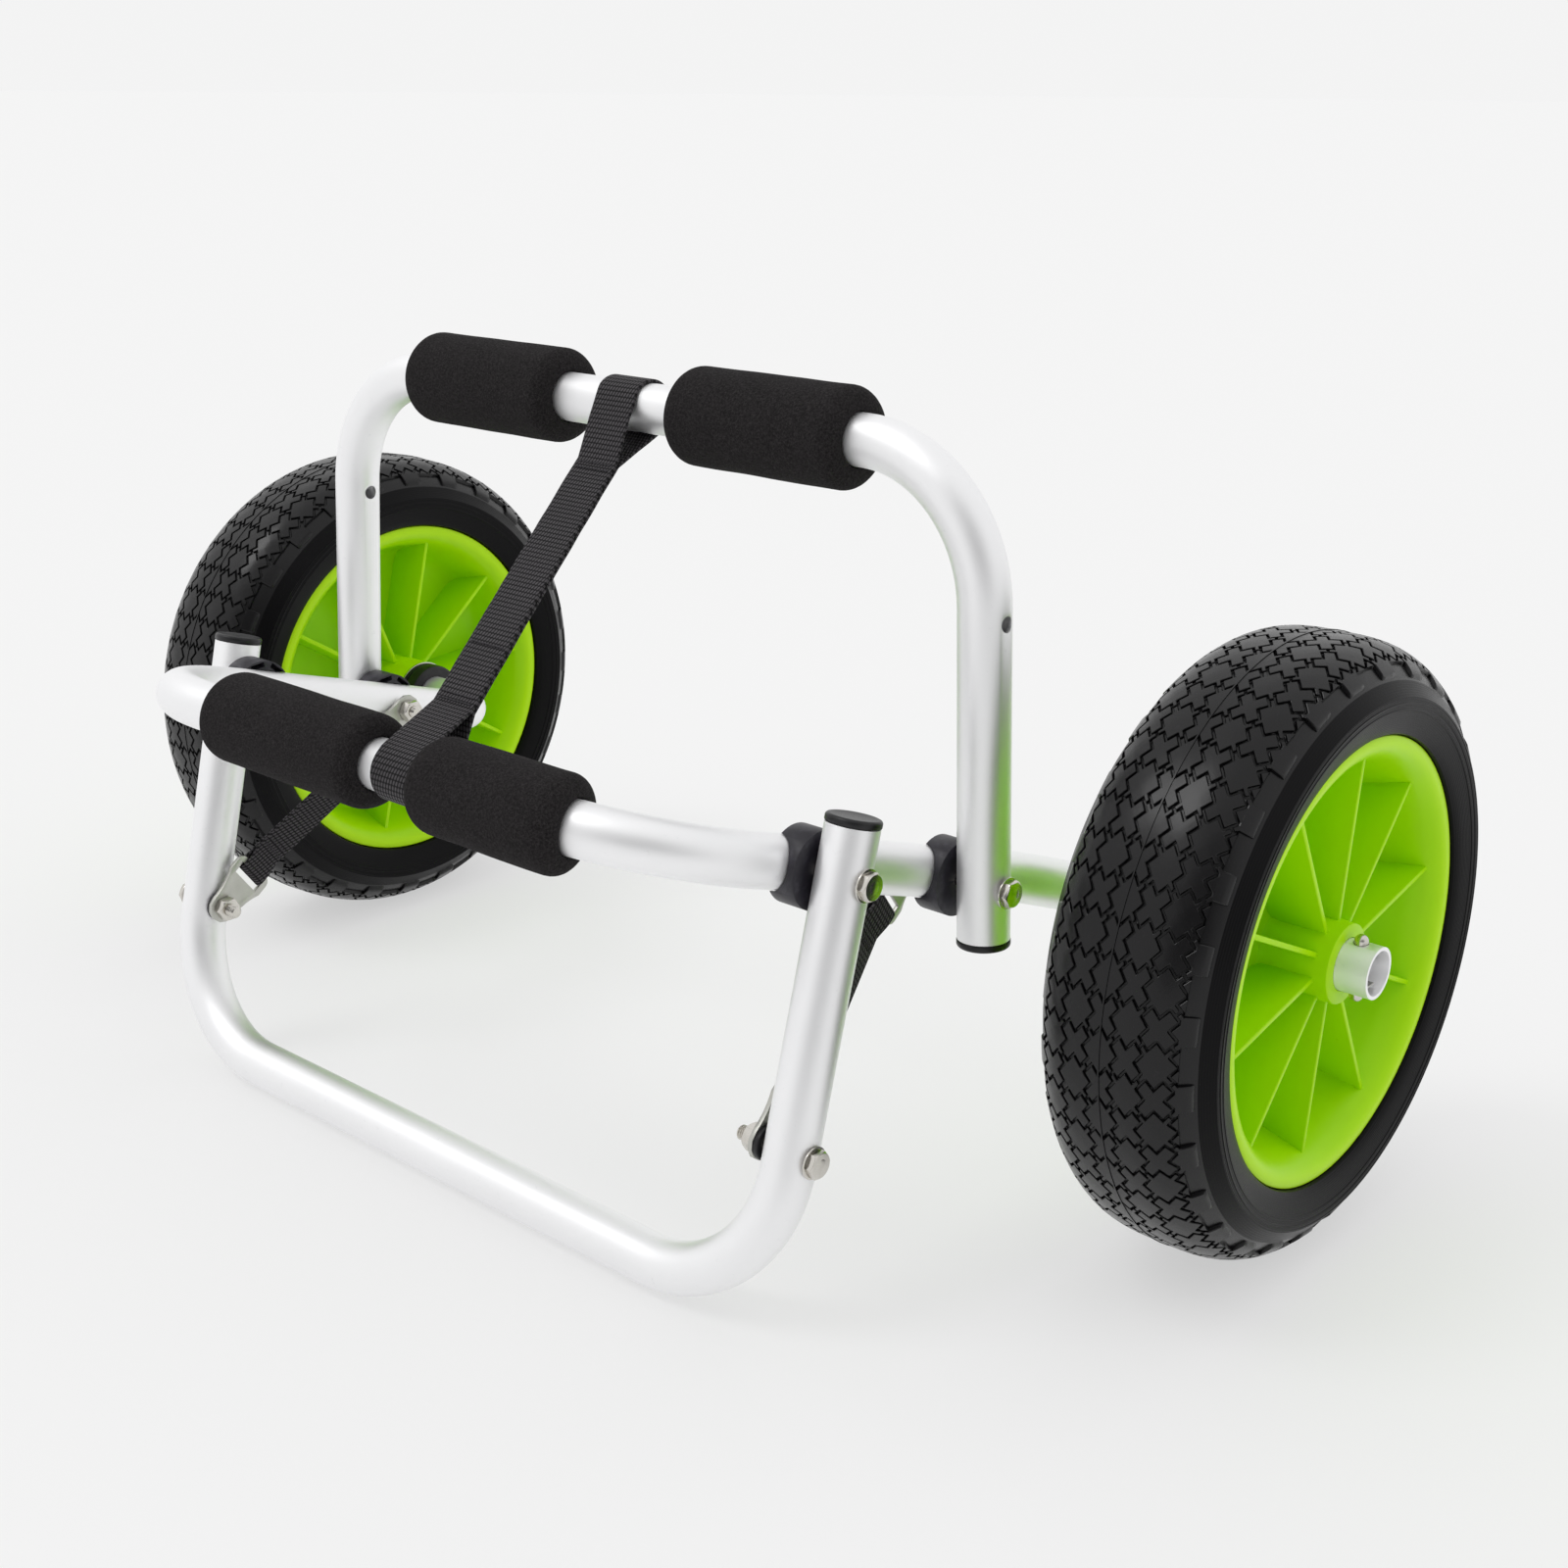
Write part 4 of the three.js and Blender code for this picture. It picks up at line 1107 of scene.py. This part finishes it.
def tread(phase):
    """The tread: cross blocks and large blocks on a diamond lattice, parted by grooves."""
    lines = [0, 0.034, 0.125, 0.19, 0.395, 0.46, 0.54, 0.605, 0.81, 0.875, 0.966, 1]
    groove_depth, chamfer, skirt, tuck = 0.0014, 0.0004, 0.0034, 0.0012
    count = len(lines) - 1
    add = bpy.ops.mesh.primitive_grid_add
    strip = primitive(add, x_subdivisions=count, y_subdivisions=count, size=1)

    def is_groove(face):
        """The narrow links between blocks and the outline round each cross block."""
        centre = face.calc_center_median()
        near, far = sorted(min(value, 1 - value) for value in (centre.x, centre.y))
        link, outline = near < lines[1], near < lines[3] and far < lines[5]
        return (link or outline) and not (near < lines[2] and far < lines[4])

    move_points(strip, lambda point: Vector(
        (lines[round((point.x + 0.5) * count)], lines[round((point.y + 0.5) * count)], 0)
    ))
    strip.data.materials.append(TREAD)
    second_material(strip, GROOVE, is_groove)
    move_points(strip, lambda point: Vector(
        ((point.x + point.y) * PITCH / 2, (point.x - point.y) * ROW - 3 * ROW, 0)
    ))
    reopen(strip)
    for row in range(6):
        step = PITCH / 2 if row % 2 else -PITCH / 2
        bpy.ops.mesh.duplicate_move(TRANSFORM_OT_translate={"value": (step, ROW, 0)})
    select_all()
    bpy.ops.transform.translate(value=(PITCH / 2, 0, 0))
    merge()
    for side in (1, -1):
        select_all()
        bpy.ops.mesh.bisect(plane_co=(0, side * TREAD_EDGE, 0), plane_no=(0, side, 0), clear_outer=True)
    leave()
    round_the_tyre(strip)
    move_points(strip, lambda point: on_the_tyre(point.x, point.y, 0, phase))
    reopen(strip)
    bpy.ops.mesh.remove_doubles(threshold=2 * SAME_PLACE)
    leave()
    face = strip.data.polygons[0]
    if face.normal.dot(outwards(face.center)) < 0:
        turn_over(strip)
    reopen(strip)
    choose("FACE", lambda face: face.material_index == 1)
    bpy.ops.mesh.extrude_region_shrink_fatten(TRANSFORM_OT_shrink_fatten={"value": -groove_depth})
    choose("EDGE", lambda edge: len(edge.link_faces) == 2 and is_block_edge(edge))
    bpy.ops.mesh.bevel(offset=chamfer, segments=1, affect="EDGES", clamp_overlap=True)
    choose("EDGE", lambda edge: edge.is_boundary)
    extrude((0, 0, 0))
    shape = bmesh.from_edit_mesh(strip.data)
    for vertex in shape.verts:
        if vertex.select:
            vertex.co -= outwards(vertex.co).normalized() * skirt
            vertex.co.x -= math.copysign(tuck, vertex.co.x - WHEEL.x)
    bmesh.update_edit_mesh(strip.data)
    leave()
    return soften(strip, angle=35)


def is_block_edge(edge):
    """Whether an edge runs between a block's top and a groove's wall."""
    first, second = edge.link_faces
    has_top = 0 in (first.material_index, second.material_index)
    return has_top and first.normal.angle(second.normal, 0) > 0.6


def lugs(phase):
    """The shoulder lugs that carry on every other block of the edge, on both shoulders."""
    section = [
        (0.0278, 0), (0.0292, 0), (0.0305, 0), (0.0317, 0), (0.0325, -0.0005), (0.0331, -0.0016),
        (0.0335, -0.0032),
    ]
    width, depth, flare = 0.0119, 0.004, 1.14
    rows = len(section) - 1
    lug = primitive(bpy.ops.mesh.primitive_grid_add, x_subdivisions=4, y_subdivisions=rows, size=1)
    move_points(lug, lambda point: Vector((point.x * width, *section[round((point.y + 0.5) * rows)])))
    reopen(lug)
    choose("EDGE", lambda edge: edge.is_boundary)
    extrude((0, 0, -depth))
    choose("VERT", lambda vertex: vertex.co.z < -0.9 * depth)
    bpy.ops.transform.resize(value=(flare, 1, 1), center_override=(0, 0, 0))
    leave()
    soften(lug, 0.0003, segments=1, angle=50)
    round_the_tyre(lug)
    other = copied(lug)
    other.data.transform(Matrix.Scale(-1, 4, (0, 1, 0)))
    for piece in (lug, other):
        move_points(piece, lambda point: on_the_tyre(point.x, point.y, point.z, phase))
    face_outwards(gather(lug, other))
    lug.data.materials.append(TREAD)
    return soften(lug, angle=35)


def tyre_body():
    """The tyre under its tread: beads, sidewalls with fine raised rings, shoulders between the lugs."""
    half = [
        (0.0292, 0.0863), (0.0292, 0.0918), (0.0326, 0.0918), (0.0334, 0.0922), (0.0342, 0.0934),
        (0.035, 0.0956), (0.0358, 0.0984), (0.0364, 0.1008), (0.0366, 0.1016), (0.0369, 0.1018),
        (0.037, 0.1024), (0.0368, 0.1028), (0.0369, 0.104), (0.0372, 0.1043), (0.0373, 0.1049),
        (0.037, 0.1053), (0.037, 0.1064), (0.0372, 0.1067), (0.0371, 0.1073), (0.0367, 0.1078),
        (0.0355, 0.1093), (0.0342, 0.1109), (0.0326, 0.113), (0.0308, 0.1152), (0.0296, 0.1164),
        (0.0284, 0.1176), (0.027, 0.1187), (0.024, 0.1203), (0.02, 0.122), (0.012, 0.1237),
    ]
    far = [(-along, radius) for along, radius in reversed(half)]
    body = turned([*half, (0, 0.124), *far, (0, 0.0781), half[0]], WHEEL, steps=140)
    body.data.materials.append(SIDEWALL)
    second_material(body, TREAD, lambda face: outwards(face.calc_center_median()).length > 0.1135)
    return soften(body, angle=28)


def wheels():
    degree = math.pi / 180
    moulding = rim(7 * degree)
    tread_turn = 5.7 * degree
    casing = gather(tyre_body(), tread(tread_turn), lugs(tread_turn))
    half_seam = 0.0003
    seam = ring(-half_seam, half_seam, 0.1262, WHEEL_RADIUS, WHEEL, steps=140)
    seam.data.materials.append(TREAD)
    gather(casing, soften(seam))
    for piece, name, turn, slot, node in (
        (moulding, "rim_moulding", 7, "rim_plastic", "rim"),
        (casing, "tyre_casing", -1.7, "tyre", "tyre"),
    ):
        other = mirrored(piece)
        centre = flipped(WHEEL)
        spin = Matrix.Rotation(-turn * degree, 3, "X")
        move_points(other, lambda point: centre + spin @ (point - centre))
        for shape, side in ((piece, "right"), (other, "left")):
            finished(shape, f"{side}_{name}", f"{side}_wheel", slot, f"{side}_{node}")


# Stage


def camera():
    forward = Vector((-0.6193, 0.7147, -0.325)).normalized()
    right = Vector((0.7557, 0.6549, 0)).normalized()
    up = right.cross(forward)
    roll = 0.007
    level = right * math.cos(roll) + up * math.sin(roll)
    upright = up * math.cos(roll) - right * math.sin(roll)
    data = bpy.data.cameras.new("camera")
    data.sensor_width = 36
    data.lens = 47.77
    eye = bpy.data.objects.new("camera", data)
    bpy.context.scene.collection.objects.link(eye)
    eye.matrix_world = Matrix((level, upright, -forward)).transposed().to_4x4()
    eye.location = (0.637, -0.6472, 0.456)
    bpy.context.scene.camera = eye


def grey(share):
    return share, share, share, 1


def floor():
    """A pale floor. The camera sees its shadows at part strength over the colour of the surround."""
    ground = primitive(bpy.ops.mesh.primitive_circle_add, vertices=96, radius=40, fill_type="NGON")
    ground.name = "floor"
    finish = Finish("pale_floor", Roughness=0.9, Specular_IOR_Level=0.0)
    finish.surface.inputs["Base Color"].default_value = grey(FLOOR_SHARE)
    seen = finish.rays()[1]
    plain = finish.node("ShaderNodeEmission", None, {"Color": grey(PALE), "Strength": 1.0})
    shaded = Socket(finish, finish.surface.outputs[0])
    both = finish.node("ShaderNodeMixShader", None, {0: seen * 0.6, 1: shaded, 2: plain})
    finish.nodes.links.new(both.output, finish.nodes.nodes["Material Output"].inputs["Surface"])
    ground.data.materials.append(finish.material)


def light():
    """Soft studio light: bright above and behind, dimmer round the camera, with one broad key from the
    upper left. The camera sees a plain surround, and so does metal, dimmer towards the camera."""
    world = bpy.data.worlds.new("studio")
    bpy.context.scene.world = world
    sky = Surround(world)
    direction = sky.node("ShaderNodeTexCoord", output="Generated")

    def lobe(toward, low, high):
        """1 where a direction is near the given one, falling to 0."""
        inputs = {0: direction, 1: Vector(toward).normalized()}
        facing = sky.node("ShaderNodeVectorMath", {"operation": "DOT_PRODUCT"}, inputs, "Value")
        return sky.step(facing, low, high)

    toward_camera, above_and_behind = (0.62, -0.71, 0.2), (-0.35, 0.55, 0.75)
    front = lobe(toward_camera, 0.5, 0.97)
    camera_ray, seen = sky.rays()
    lit = lobe(above_and_behind, -0.1, 0.8) * 0.34 + 0.8 - front * 0.35
    shown = 1 - lobe(toward_camera, 0.7, 0.99) * (1 - camera_ray) * 0.75
    lamp_light = sky.node("ShaderNodeBackground", None, {"Color": grey(1), "Strength": lit})
    surround = sky.node("ShaderNodeBackground", None, {"Color": grey(PALE), "Strength": shown})
    both = sky.node("ShaderNodeMixShader", None, {0: seen, 1: lamp_light, 2: surround})
    sky.nodes.links.new(both.output, sky.nodes.nodes["World Output"].inputs["Surface"])
    lamp = bpy.data.lights.new("key", "SUN")
    lamp.energy = 0.5
    lamp.angle = math.radians(22)
    key = bpy.data.objects.new("key", lamp)
    bpy.context.scene.collection.objects.link(key)
    key.rotation_euler = Vector((-0.36, -0.42, 0.83)).to_track_quat("Z", "Y").to_euler()


camera()
floor()
light()
bpy.context.scene.view_settings.view_transform = "Standard"

frame_tubes()
foam_sleeves()
main_strap()
limit_strap()
fasteners()
strap_plates()
saddle("upper_saddle", UPPER_PIVOT)
saddle("kick_saddle", KICK_PIVOT)
leg_cap("upper_leg_cap", UPPER_TAIL, UPPER_TAIL - UPPER_HINGE, "upper_frame")
leg_cap("kick_leg_cap", KICK_TAIL, KICK_TAIL - KICK_HINGE, "kickstand")
stub_pieces()
wheels()

for side in ("left", "right"):
    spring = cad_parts[f"{side}_button_spring"]
    spring.data.materials.clear()
    spring.data.materials.append(FINISHES["satin_steel"])
